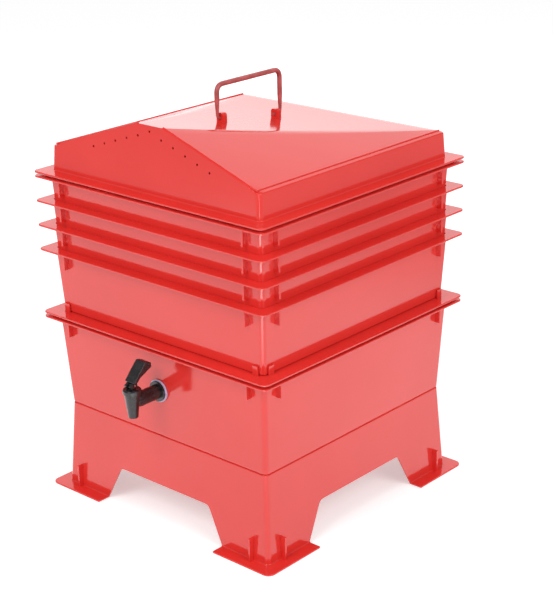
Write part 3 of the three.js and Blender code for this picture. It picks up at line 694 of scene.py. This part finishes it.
def seat_rings(sizes):
    """The bead that rests on the flange below and the skirt in its mouth."""
    setback, bead_radius, bead_thickness = 11.0, 11.0, 3.0
    room, skirt_radius, skirt_thickness, skirt_depth = 1.6, 6.0, 2.0, 12.0
    bead = square_ring(sizes.footprint / 2 - setback, bead_radius, bead_thickness,
                       sizes.bead_height)
    skirt = square_ring(sizes.rim_half - sizes.wall - room, skirt_radius, skirt_thickness,
                        skirt_depth)
    return joined(bead, skirt)


def plate_form(sizes, height, tray_foot):
    """The drain plate, with lugs up to a height beside the lowest tray's foot."""
    thick, half, flat_half, flat_radius = sizes.flange_thickness, sizes.footprint / 2, 210, 6.0
    room, lug_thickness, from_corner, lug_width = 1.35, 3.0, 14.0, 11.0
    piece = as_object(square_form([
        (flat_half, flat_radius, 0, 0),
        (half, sizes.flange_radius, 0, 0.6),
        (half, sizes.flange_radius, thick, 0.9),
        (flat_half, flat_radius, thick, 0),
    ]), "plate")
    combine(piece, hole_grid(sizes, thick), "DIFFERENCE")
    inner = tray_foot + room
    lugs = corner_ribs(inner, inner + lug_thickness, tray_foot - from_corner, lug_width,
                       thick - SINK, height)
    return with_form(piece, joined(seat_rings(sizes), lugs))


def stand_form(stand, sizes, height):
    """The stand, with the ribs under its deck and on its feet."""
    thick = sizes.flange_thickness
    lean = (stand.foot_half - stand.top_half) / height
    inner = sizes.wall_radius - stand.wall
    deck, raised = height - thick, height + DECK_RISE
    rows = [
        (DECK_HALF - FLAT, 5.0, raised, 0),
        (DECK_HALF, DECK_RADIUS, raised, 1.2),
        (DECK_HALF, DECK_RADIUS, height, 1.0),
        (stand.top_half, sizes.wall_radius, height, 2.2),
        (stand.foot_half - lean * thick, sizes.wall_radius, thick, 1.8),
        (stand.flange_half, stand.flange_radius, thick, 0.9),
        (stand.flange_half, stand.flange_radius, 0, 0.5),
        (stand.foot_half - stand.wall, inner, 0, 0.5),
        (stand.top_half + lean * thick - stand.wall, inner, deck, 1.5),
        (DECK_HALF - FLAT, 4.0, deck, 0),
    ]
    shell = as_object(square_form(rows), "stand")
    reach, half, drop, rounding = stand.top_half - 0.8, 1.25, 18, 0.3
    ribs = []
    for side in (-1, 0, 1):
        middle = side * stand.top_half / 2
        rib = block((-reach, middle - half, deck - drop), (reach, middle + half, deck + SINK),
                    rounding)
        ribs.append(turned_copies(rib, (0, QUARTER)))
    root = stand.foot_half - lean * (thick + stand.rib_height) - stand.wall / 2
    feet = corner_ribs(root, stand.flange_half - stand.rib_setback, stand.rib_offset,
                       sizes.rib_thickness, thick - SINK, thick + stand.rib_height)
    combine(shell, arch_cutters(stand), "DIFFERENCE")
    soften(shell, 0.7, 55)
    return with_form(shell, joined(feet, *ribs))


def arch_cutters(stand):
    """A long prism through each pair of arches."""
    slope = (stand.arch_foot_half - stand.arch_top_half) / stand.arch_height
    past, steps = 5.0, 6
    edge = Vector((-slope, 1)).normalized()
    corner = Vector((stand.arch_top_half, stand.arch_height))
    start = corner - edge * stand.arch_radius
    end = corner + Vector((-stand.arch_radius, 0))
    half = [(stand.arch_foot_half + slope * past, -past)]
    half += [tuple(point) for point in bent(start, corner, end, steps)]
    outline = half + [(-x, z) for x, z in reversed(half)]
    reach = stand.flange_half + past
    cut = prism([(x, -reach, z) for x, z in outline], (0, 2 * reach, 0))
    return turned_copies(cut, (0, QUARTER))


# The lid's roof

def lid_half(lid, height):
    """Half width of the lid's walls at a height."""
    return lid.foot_half - bpy.context.scene.wormery_stack.draft * height


def eave_half(lid):
    return lid_half(lid, lid.wall_height)


def roof_foot(lid):
    """How far out the roof's slopes reach, short of the rounding of the corners."""
    return eave_half(lid) - bpy.context.scene.wormery_stack.wall_radius


def back_share(lid, y):
    """0 at the gable, 1 just short of the back eave."""
    front = eave_half(lid)
    return clamped((y + front) / (roof_foot(lid) + front))


def crease_half(lid, y):
    """Half width of the top between its creases, which spread towards the back corners."""
    short_of_corner = 4.0
    widest = roof_foot(lid) - short_of_corner
    return lid.peak_half + (widest - lid.peak_half) * back_share(lid, y)


def ridge_height(lid, y):
    share = back_share(lid, y)
    sag = 4 * lid.sag * share * (1 - share)
    return lid.wall_height + lid.gable_rise * (1 - share) - sag


def roof_height(lid, x, y):
    crease, ridge = crease_half(lid, y), ridge_height(lid, y)
    share = clamped((abs(x) - crease) / (roof_foot(lid) - crease))
    return ridge + (lid.wall_height - ridge) * share


def roof_columns(lid, y, half):
    """Places across the roof at one distance back, with columns on both creases."""
    foot, crease = roof_foot(lid), crease_half(lid, y)
    on_slope, on_top = 10, 8
    slope = [foot + (crease - foot) * k / on_slope for k in range(on_slope)]
    middle = [crease * (1 - k / on_top) for k in range(on_top + 1)]
    right = [half] + slope + middle
    return [-x for x in right] + right[-2::-1]


def roof_sheet(lid):
    """The roof as a grid, whose front row leans back with the gable."""
    rows, tries = 30, 3
    eave, foot = eave_half(lid), roof_foot(lid)
    places = [-eave] + [foot * (2 * k / rows - 1) for k in range(rows + 1)] + [eave]
    last_row, last_column = len(places) - 1, len(roof_columns(lid, 0.0, eave)) - 1
    bm = bmesh.new()
    bmesh.ops.create_grid(bm, x_segments=last_column, y_segments=last_row, size=1.0)
    for vert in bm.verts:
        column = round((vert.co.x + 1) / 2 * last_column)
        row = round((vert.co.y + 1) / 2 * last_row)
        y = places[row]
        x = roof_columns(lid, y, eave)[column]
        if row == 0:
            for _ in range(tries):
                y = -lid_half(lid, roof_height(lid, x, y))
        vert.co = (x, y, roof_height(lid, x, y))
    return bm


def drop_walls(bm, lid):
    """Extrudes the roof's border down to height 0, spreading by the draft."""
    eave, near = eave_half(lid), 0.05
    grow = lid.foot_half / eave
    border = [edge for edge in bm.edges if edge.is_boundary]
    for vert in new_verts(bmesh.ops.extrude_edge_only(bm, edges=border)):
        x, y, height = vert.co
        on_side = abs(x) > eave - near
        on_end = abs(abs(y) - lid_half(lid, height)) < near
        vert.co = (math.copysign(lid.foot_half, x) if on_side else x * grow,
                   math.copysign(lid.foot_half, y) if on_end else y * grow, 0)
    turn_outwards(bm)


def is_wall(face, steepest=0.3):
    return abs(face.normal.z) < steepest


def is_eave(edge, flattest=0.6):
    """Whether an edge is where the roof turns down into a wall."""
    faces = edge.link_faces
    return len(faces) == 2 and any(map(is_wall, faces)) and not all(
        is_wall(face, flattest) for face in faces)


def is_corner(edge, foot, beyond=1, height=10):
    """Whether an edge is one of the four uprights at the lid's corners."""
    a, b = (vert.co for vert in edge.verts)
    outside = min(abs(a.x), abs(a.y), abs(b.x), abs(b.y)) > foot + beyond
    return outside and abs(a.z - b.z) > height


def lid_form(lid, sizes):
    """The roof and walls as one sheet, given its thickness inwards."""
    bm = roof_sheet(lid)
    drop_walls(bm, lid)
    foot, near, upright_radius, eave_radius = roof_foot(lid), 0.01, sizes.wall_radius - 0.1, 3.4
    uprights = [edge for edge in bm.edges if is_corner(edge, foot)]
    round_edges(bm, uprights, upright_radius, 6, False)
    bm.normal_update()
    for vert in bm.verts:
        if any(map(is_wall, vert.link_faces)) and abs(vert.co.z - lid.wall_height) < near:
            vert.co.z -= lid.eave_drop
    bm.normal_update()
    round_edges(bm, [edge for edge in bm.edges if is_eave(edge)], eave_radius, 4)
    turn_outwards(bm)
    if sum(face.normal.z * face.calc_area() for face in bm.faces) < 0:
        bmesh.ops.reverse_faces(bm, faces=bm.faces)
    piece = as_object(bm, "lid")
    step = piece.modifiers.new("wall", "SOLIDIFY")
    step.thickness = lid.thickness
    step.offset = -1.0
    step.use_even_offset = True
    return settle(piece)


def lid_flange(lid, sizes):
    """The flange round the foot of the lid's walls, with a fillet up the wall."""
    half, thick = sizes.footprint / 2, sizes.flange_thickness
    top, skin = thick + 2.4, 0.05
    inner, inner_radius = lid.foot_half - lid.thickness + SINK, 5.6
    return square_form([
        (inner, inner_radius, 0, 0),
        (half, sizes.flange_radius, 0, 0.6),
        (half, sizes.flange_radius, thick, 0.9),
        (lid_half(lid, thick) + skin, sizes.wall_radius, thick, 1.8),
        (lid_half(lid, top) - skin, sizes.wall_radius, top, 0),
        (inner, inner_radius, top, 0),
    ], closed=True)


def edge_beads(lid):
    """A fine raised bead along each side slope, behind the gable and over the eave."""
    inward, sunk, radius, sides = 3.0, 0.5, 1.5, 16
    foot, low = roof_foot(lid), lid.wall_height
    top = low + lid.gable_rise
    beads = []
    for hand in HANDS:
        peak = (hand * lid.peak_half, inward - lid_half(lid, top), top - sunk)
        corner = (hand * foot, inward - lid_half(lid, low), low)
        beads.append(rod(peak, corner, radius, sides))
        beads.append(rod(corner, (hand * foot, foot, low), radius, sides))
    return joined(*beads)


def vent_rods(lid):
    """A level rod through the gable for each vent hole."""
    pitch, per_side, radius, sides = 25.2, 5, 2.0, 16
    under_edge, under_peak, ahead, behind = 19.5, 10.0, 4, 18
    rods = []
    for k in range(-per_side, per_side + 1):
        x = k * pitch
        z = roof_height(lid, x, -eave_half(lid)) - (under_edge if k else under_peak)
        rods.append(rod((x, -lid.foot_half - ahead, z), (x, -lid.foot_half + behind, z), radius,
                        sides))
    return joined(*rods)


# The handle

def pivot(lid, hand):
    """The middle of the front (-1) or rear (1) ear's hole."""
    y, above_roof = hand * lid.ear_spacing / 2, 7.0
    return Vector((0, y, ridge_height(lid, y) + above_roof))


def bail_axis(lid):
    return (pivot(lid, 1) - pivot(lid, -1)).normalized()


def ear_form(lid, hand):
    """One ear: a block with a round top that stands on the roof."""
    half, depth, sunk, bend, hole, near = 7.5, 9.0, 1.5, 5.0, 2.8, 1
    spot = pivot(lid, hand)
    roof = ridge_height(lid, spot.y)
    top = roof + lid.ear_height
    bm = block((-half, spot.y - depth / 2, roof - sunk), (half, spot.y + depth / 2, top))
    upper = [edge for edge in bm.edges
             if all(vert.co.z > top - near for vert in edge.verts)
             and abs(edge.verts[0].co.x - edge.verts[1].co.x) < near]
    round_edges(bm, upper, bend, 8)
    ear = as_object(bm, "ear")
    along = bail_axis(lid) * depth
    combine(ear, rod(spot - along, spot + along, hole, 24), "DIFFERENCE")
    return soften(ear, 0.6, 40)


def bail_points(lid):
    """The rod's corners in the plane x = 0, with the bend radius at each."""
    half_ear, gap, half_rod, into_ear, rise = 4.5, 1.4, 4.1, 6.0, 54.5
    foot_bend, top_bend = 6.0, 14.0
    tips, feet = ([pivot(lid, hand) + bail_axis(lid) * (hand * reach) for hand in HANDS]
                  for reach in (-into_ear, half_ear + gap + half_rod))
    tops = [Vector((0, foot.y, pivot(lid, -1).z + rise)) for foot in feet]
    points = [tips[0], feet[0], *tops, feet[1], tips[1]]
    return points, [0, foot_bend, top_bend, top_bend, foot_bend, 0]


def bail_path(lid):
    """Closely spaced points along the rod, round its bends."""
    on_run, on_bend = 6, 8
    points, bends = bail_points(lid)
    path = [points[0]]
    for k in range(1, len(points) - 1):
        before = points[k] + (points[k - 1] - points[k]).normalized() * bends[k]
        after = points[k] + (points[k + 1] - points[k]).normalized() * bends[k]
        run = before - path[-1]
        path += [before - run * (1 - step / on_run) for step in range(1, on_run + 1)]
        path += bent(before, points[k], after, on_bend)[1:]
    return path + [points[-1]]


def spot_of(vert):
    """A vertex's place, rounded so that it can be looked up."""
    return tuple(round(part, 5) for part in vert.co)


def bail_form(lid):
    """The bent rod, thinner towards its ends."""
    sides, pin, pin_length, taper, full = 20, 2.5, 18, 30, lid.rod_radius + 0.1
    path = bail_path(lid)
    reach = [0.0]
    for a, b in zip(path, path[1:]):
        reach.append(reach[-1] + (b - a).length)
    bm = bmesh.new()
    loop = first_loop(bm, sides)
    cap(bm, loop)
    side = Vector((1, 0, 0))
    for k, point in enumerate(path):
        if k:
            fresh = {spot_of(vert): vert for vert in extruded(bm, loop)}
            loop = [fresh[spot_of(vert)] for vert in loop]
        along = (path[min(k + 1, len(path) - 1)] - path[max(k - 1, 0)]).normalized()
        up = side.cross(along)
        share = clamped((min(reach[k], reach[-1] - reach[k]) - pin_length) / taper)
        share = share * share * (3 - 2 * share)
        radius = pin + (full - pin) * share
        for j, vert in enumerate(loop):
            angle = math.tau * j / sides
            vert.co = point + up * (radius * math.cos(angle)) + side * (radius * math.sin(angle))
    cap(bm, loop)
    turn_outwards(bm)
    return as_object(bm, "bail")


# The tap, in a frame whose origin is where the barrel's axis meets the nozzle's axis

def tap_body_form(tap):
    """Nozzle, barrel, back flange and shank, bored through."""
    body = as_object(round_form([(tap.nozzle_tip, -26, 0.6), (tap.body_top, 12, 0),
                                 (tap.body_top, 15, 0.5)], 64), "tap")
    # Neck, barrel, flange and shank: start, end, sides, both radii and rounding
    for start, end, sides, radius, end_radius, rounding in (
            (0, 13, 64, 8.5, tap.barrel, 0.0), (13, 52.6, 64, tap.barrel, tap.barrel, 0.0),
            (52, 55, 64, 17.0, 17.0, 0.7), (54, 75, 48, 9.9, 9.9, 0.5)):
        form = rod((0, start, 0), (0, end, 0), radius, sides, end_radius, rounding)
        combine(body, form, "UNION")
    bore = rod((0, 0, 0), (0, 76, 0), 6.0, 32)
    chamber = round_form([(4.6, -27, 0), (4.6, -14, 0), (7.6, -14, 0), (7.6, 16, 0)], 48)
    for hollow in (bore, chamber):
        combine(body, hollow, "DIFFERENCE")
    return soften(body, 0.4, 50)


def tap_bonnet_form():
    """Collar on top of the body, with a grip edge and the plug below it."""
    rows = [(2.8, 10.3, 0), (7.3, 10.3, 0.3), (7.3, 15.3, 0), (15.0, 15.3, 0.7),
            (15.0, 21.4, 0.9), (12.9, 23.3, 0.5), (2.8, 23.3, 0)]
    return as_object(round_form(rows, 72, closed=True), "bonnet")


def paddle_outline(lean):
    """The paddle's side view as (y, z) about the lever's pin."""
    along = Vector((math.sin(lean), math.cos(lean)))
    back = Vector((math.cos(lean), -math.sin(lean)))
    root = Vector((0, 1.8))
    spots = [(0, -5.8), (19, -6.1), (38.0, -5.8), (39.6, -4.6), (43.4, 3.6), (43.2, 5.6),
             (39.2, 10.4), (37.6, 10.5), (12.7, 0.2), (0, 0)]
    return [root + along * reach + back * depth for reach, depth in spots]


def cam_outline():
    """The hub's side view: half a circle in front, and a cam that grows evenly with its turn."""
    radius, rise, turn, cam_turn, steps = 5.6, 3.2, math.radians(70), math.radians(78), 24
    growth = rise / turn
    hub = [(radius * math.sin(a), radius * math.cos(a))
           for a in (math.pi * k / steps for k in range(steps + 1))]
    for k in range(steps + 1):
        a = cam_turn * k / steps
        reach = radius + growth * a
        hub.append((-reach * math.sin(a) - growth * math.cos(a),
                    -reach * math.cos(a) + growth * math.sin(a)))
    return hub


def tap_lever_form(tap):
    """Thumb paddle and cam hub, slotted for the stem's eye and drilled for the pin."""
    half_paddle, half_hub = 11.0, 7.5
    paddle = side_prism(paddle_outline(math.radians(tap.lean)), half_paddle)
    piece = soften(as_object(paddle, "lever"), 0.9, 30, 3)
    cam = soften(as_object(side_prism(cam_outline(), half_hub), "cam"), 0.35, 60)
    hub = opened(cam)
    bpy.data.objects.remove(cam)
    combine(piece, hub, "UNION")
    slot = block((-2.8, -12, -12), (2.8, 6.6, 4.2))
    pin_hole = rod((-12, 0, 0), (12, 0, 0), 1.8, 24)
    for hollow in (slot, pin_hole):
        combine(piece, hollow, "DIFFERENCE")
    return piece


def outer_washer_form(sizes):
    """Soft washer squeezed between the tap's flange and the leaning wall."""
    bore, rim, front, thickness = 10.3, 19.0, 55.3, 3.4
    back = front + thickness
    rows = [(bore, front, 0.4), (rim, front, 0.8), (rim, back, 0.8), (bore, back, 0.4)]
    bm = aim(round_form(rows, 72, closed=True), (0, 0, 0), (0, 1, 0))
    for vert in bm.verts:
        vert.co.y -= clamped((vert.co.y - front) / thickness) * sizes.draft * vert.co.z
    turn_outwards(bm)
    return as_object(bm, "washer")


def tap_axis():
    """Height of the tap's axis, midway up its round washer."""
    return middle_mm("tap_outer_washer").z


def lid_place():
    """The underside of the lid's flange, over the top tray's rim, the gap and the bead."""
    rim = corners_mm("working_tray_1")[1].z
    return on_stack(rim + REST_GAP + bpy.context.scene.wormery_stack.bead_height)


# Operators

class BuildOperator(bpy.types.Operator):
    """Shared by the operators, so that each can be undone."""
    bl_options = {"REGISTER", "UNDO"}


class WORMERY_OT_stand(BuildOperator):
    """Build the stand with its arches, feet and deck"""
    bl_idname = "wormery.stand"
    bl_label = "Stand"

    def execute(self, context):
        top = corners_mm("sump_tray")[0].z - REST_GAP
        piece = stand_form(context.scene.wormery_stand, context.scene.wormery_stack, top)
        finished(piece, "stand_moulding", "stand", "stand", on_stack(0))
        return {"FINISHED"}


class WORMERY_OT_sump(BuildOperator):
    """Build the sump tray"""
    bl_idname = "wormery.sump"
    bl_label = "Sump tray"

    def execute(self, context):
        sizes = context.scene.wormery_stack
        tap_hole, outside, inside = 10.5, 4, 6
        low, high = corners_mm("sump_tray")
        depth = high.z - low.z
        wall = wall_half(sizes, high.z - tap_axis())
        height = tap_axis() - low.z
        drill = rod((0, -wall - outside, height), (0, -wall + inside, height), tap_hole, 32)
        piece = combine(sump_form(sizes, depth), drill, "DIFFERENCE")
        with_form(piece, flange_ribs(sizes, depth))
        finished(piece, "sump_moulding", "sump", "sump_tray", on_stack(low.z))
        return {"FINISHED"}


class WORMERY_OT_drain_plate(BuildOperator):
    """Build the perforated plate between the sump and the lowest tray"""
    bl_idname = "wormery.drain_plate"
    bl_label = "Drain plate"

    def execute(self, context):
        sizes = context.scene.wormery_stack
        bottom, rim = corners_mm("working_tray_4")
        low = bottom.z - REST_GAP - sizes.flange_thickness
        tray_foot = wall_half(sizes, rim.z - bottom.z)
        piece = plate_form(sizes, corners_mm("drain_plate")[1].z - low, tray_foot)
        finished(piece, "drain_plate_moulding", "drain_plate", "drain_plate", on_stack(low))
        return {"FINISHED"}


class WORMERY_OT_trays(BuildOperator):
    """Build the four nested working trays"""
    bl_idname = "wormery.trays"
    bl_label = "Working trays"

    def execute(self, context):
        sizes = context.scene.wormery_stack
        low, high = corners_mm("working_tray_1")
        depth = high.z - low.z
        form = with_form(tray_form(sizes, depth), flange_ribs(sizes, depth))
        for level in range(1, 5):
            piece = form if level == 4 else added("tray", form.data.copy())
            node = f"working_tray_{level}"
            finished(piece, f"tray_{level}_moulding", f"tray_{level}", node,
                     on_stack(corners_mm(node)[0].z))
        return {"FINISHED"}


class WORMERY_OT_lid(BuildOperator):
    """Build the gable lid"""
    bl_idname = "wormery.lid"
    bl_label = "Lid"

    def execute(self, context):
        lid, sizes = context.scene.wormery_lid, context.scene.wormery_stack
        piece = combine(lid_form(lid, sizes), vent_rods(lid), "DIFFERENCE")
        with_form(piece, joined(lid_flange(lid, sizes), seat_rings(sizes), edge_beads(lid)))
        finished(piece, "lid_moulding", "lid", "lid", lid_place())
        return {"FINISHED"}


class WORMERY_OT_handle(BuildOperator):
    """Build the ears and the bent rod"""
    bl_idname = "wormery.handle"
    bl_label = "Handle"

    def execute(self, context):
        lid, place = context.scene.wormery_lid, lid_place()
        for hand, end in zip(HANDS, ("front", "rear")):
            node = f"handle_ear_{end}"
            finished(ear_form(lid, hand), node + "_moulding", "lid", node, place)
            for side in ("left", "right"):
                dress_node(f"ear_screw_{end}_{side}", "steel")
        finished(bail_form(lid), "bail_rod", "bail", "handle_bail", place, "red_rod")
        return {"FINISHED"}


class WORMERY_OT_tap(BuildOperator):
    """Build the lever tap"""
    bl_idname = "wormery.tap"
    bl_label = "Tap"

    def execute(self, context):
        tap, black = context.scene.wormery_tap, "black_plastic"
        axes = Vector((0, middle_mm("tap_bonnet").y, tap_axis()))
        finished(tap_body_form(tap), "tap_body_moulding", "sump", "tap_body", axes, black)
        finished(tap_bonnet_form(), "tap_bonnet_collar", "sump", "tap_bonnet", axes, black)
        finished(tap_lever_form(tap), "tap_lever_paddle", "tap_lever", "tap_lever",
                 middle_mm("tap_lever_pin"), black)
        finished(outer_washer_form(context.scene.wormery_stack), "tap_washer_clear", "sump",
                 "tap_outer_washer", axes, "clear_rubber")
        for node, slot in (("stem", black), ("lock_nut", black), ("seat_cup", "pale_rubber"),
                           ("inner_washer", "pale_rubber"), ("spring", "steel"),
                           ("lever_pin", "steel")):
            dress_node("tap_" + node, slot)
        return {"FINISHED"}


def add_lamp(name, place, target, size, power):
    """A flat lamp that faces a target, with its width and height in metres."""
    lamp = bpy.data.lights.new(name, "AREA")
    lamp.shape = "RECTANGLE"
    lamp.size, lamp.size_y = size
    lamp.energy = power
    holder = added(name, lamp)
    holder.location = place
    along = Vector(target) - Vector(place)
    holder.rotation_euler = along.to_track_quat("-Z", "Y").to_euler()


class WORMERY_OT_stage(BuildOperator):
    """Build the floor, the lights and the camera"""
    bl_idname = "wormery.stage"
    bl_label = "Stage"

    def execute(self, context):
        context.scene.view_settings.view_transform = "Standard"
        self.floor()
        self.world(context.scene)
        middle, lamp_size = (0, 0, 0.3), (1.6, 1.6)
        add_lamp("key_lamp", (0.2, -2.6, 2.6), middle, lamp_size, 42)
        add_lamp("side_lamp", (2.8, -0.4, 2.2), middle, lamp_size, 34)
        add_lamp("back_panel", (-2.6, 2.9, 2.6), (0, 0, 2.6), (6.0, 5.4), 108)
        self.camera(context.scene)
        return {"FINISHED"}

    def camera(self, scene):
        """Stands where the photograph was taken, measured from the middle of the stack."""
        lens = bpy.data.cameras.new("camera")
        lens.lens = 95.43
        lens.sensor_width = 36.0
        lens.clip_end = 50.0
        scene.camera = added("camera", lens)
        place = Vector((1.67657, -1.80013 + on_stack(0).y * MM, 1.24187))
        # Turned about the upright, tilted down from the level and leant a little
        turn = Matrix.Translation(place)
        for axis, degrees in (("Z", 42.085), ("X", 90 - 20.323), ("Z", -1.139)):
            turn @= Matrix.Rotation(math.radians(degrees), 4, axis)
        scene.camera.matrix_world = turn

    def floor(self):
        """White floor: lifted a little for the camera, and in mirrors bright near the piece and
        in a band in front of it, which the upright corners show."""
        half, white, lift = 9.0, (0.92, 0.92, 0.92, 1.0), 0.45
        before_piece, full_within, gone_past = (0.0, -0.9, 0.0), 1.6, 2.3
        across, along, band_start = (0.74, 0.67, 0.0), (0.67, -0.74, 0.0), 0.45
        band_within, band_past, band_glow = 0.12, 0.45, 7.0
        bm = bmesh.new()
        bmesh.ops.create_grid(bm, x_segments=1, y_segments=1, size=half)
        floor = as_object(bm, "floor")
        kit = Kit(bpy.data.materials.new("floor_white"))
        plain = kit.node("ShaderNodeBsdfDiffuse", {"Color": white})
        away = kit.compared("DISTANCE", before_piece)
        near_piece = kit.fading(away, full_within, gone_past, 1.0)
        aside = kit.compared("DOT_PRODUCT", across)
        band = kit.fading(aside.maths("ABSOLUTE", aside, 0.0), band_within, band_past, band_glow)
        start = kit.between(kit.compared("DOT_PRODUCT", along) - band_start, 0.0, 1.0)
        seen = kit.node("ShaderNodeLightPath", key="Is Camera Ray")
        mirrored = kit.node("ShaderNodeLightPath", key="Is Glossy Ray")
        strength = seen * lift + mirrored * (near_piece + band * start)
        glow = kit.node("ShaderNodeEmission", {"Strength": strength})
        both = kit.node("ShaderNodeAddShader", {0: plain, 1: glow})
        kit.node("ShaderNodeOutputMaterial", {"Surface": both})
        floor.data.materials.append(kit.owner)

    def world(self, scene):
        """White all round: plain on the object, dimmer in mirrors and full for the camera."""
        scene.world = bpy.data.worlds.new("studio")
        kit = Kit(scene.world)
        on_object, in_mirrors, seen = 0.55, 0.3, 1.0
        shader, *lights = (
            kit.node("ShaderNodeBackground", {"Color": (1, 1, 1, 1), "Strength": strength})
            for strength in (on_object, in_mirrors, seen))
        for ray, light in zip(("Is Glossy Ray", "Is Camera Ray"), lights):
            chosen = kit.node("ShaderNodeLightPath", key=ray)
            shader = kit.node("ShaderNodeMixShader", {0: chosen, 1: shader, 2: light})
        kit.node("ShaderNodeOutputWorld", {"Surface": shader})


class WORMERY_PT_panel(bpy.types.Panel):
    """Lists the builders and their sizes and colours"""
    bl_idname = "WORMERY_PT_panel"
    bl_label = "Wormery"
    bl_space_type = "VIEW_3D"
    bl_region_type = "UI"
    bl_category = "Wormery"

    def draw(self, context):
        for builder in BUILDERS:
            self.layout.operator(builder.bl_idname)
        for group in GROUPS:
            column = self.layout.column(align=True)
            settings = getattr(context.scene, group)
            for key in settings.__annotations__:
                column.prop(settings, key)


BUILDERS = (WORMERY_OT_stage, WORMERY_OT_stand, WORMERY_OT_sump, WORMERY_OT_drain_plate,
            WORMERY_OT_trays, WORMERY_OT_lid, WORMERY_OT_handle, WORMERY_OT_tap)
GROUPS = {
    "wormery_stack": StackSizes,
    "wormery_stand": StandSizes,
    "wormery_lid": LidSizes,
    "wormery_tap": TapSizes,
    "wormery_finishes": Finishes,
}
CLASSES = (*GROUPS.values(), *BUILDERS, WORMERY_PT_panel)


def register():
    for item in CLASSES:
        bpy.utils.register_class(item)
    for key, group in GROUPS.items():
        setattr(bpy.types.Scene, key, PointerProperty(type=group))


def unregister():
    for key in GROUPS:
        delattr(bpy.types.Scene, key)
    for item in reversed(CLASSES):
        bpy.utils.unregister_class(item)


def main():
    register()
    bpy.ops.wormery.stage()
    bpy.ops.wormery.stand()
    bpy.ops.wormery.sump()
    bpy.ops.wormery.drain_plate()
    bpy.ops.wormery.trays()
    bpy.ops.wormery.lid()
    bpy.ops.wormery.handle()
    bpy.ops.wormery.tap()


if __name__ == "__main__":
    main()
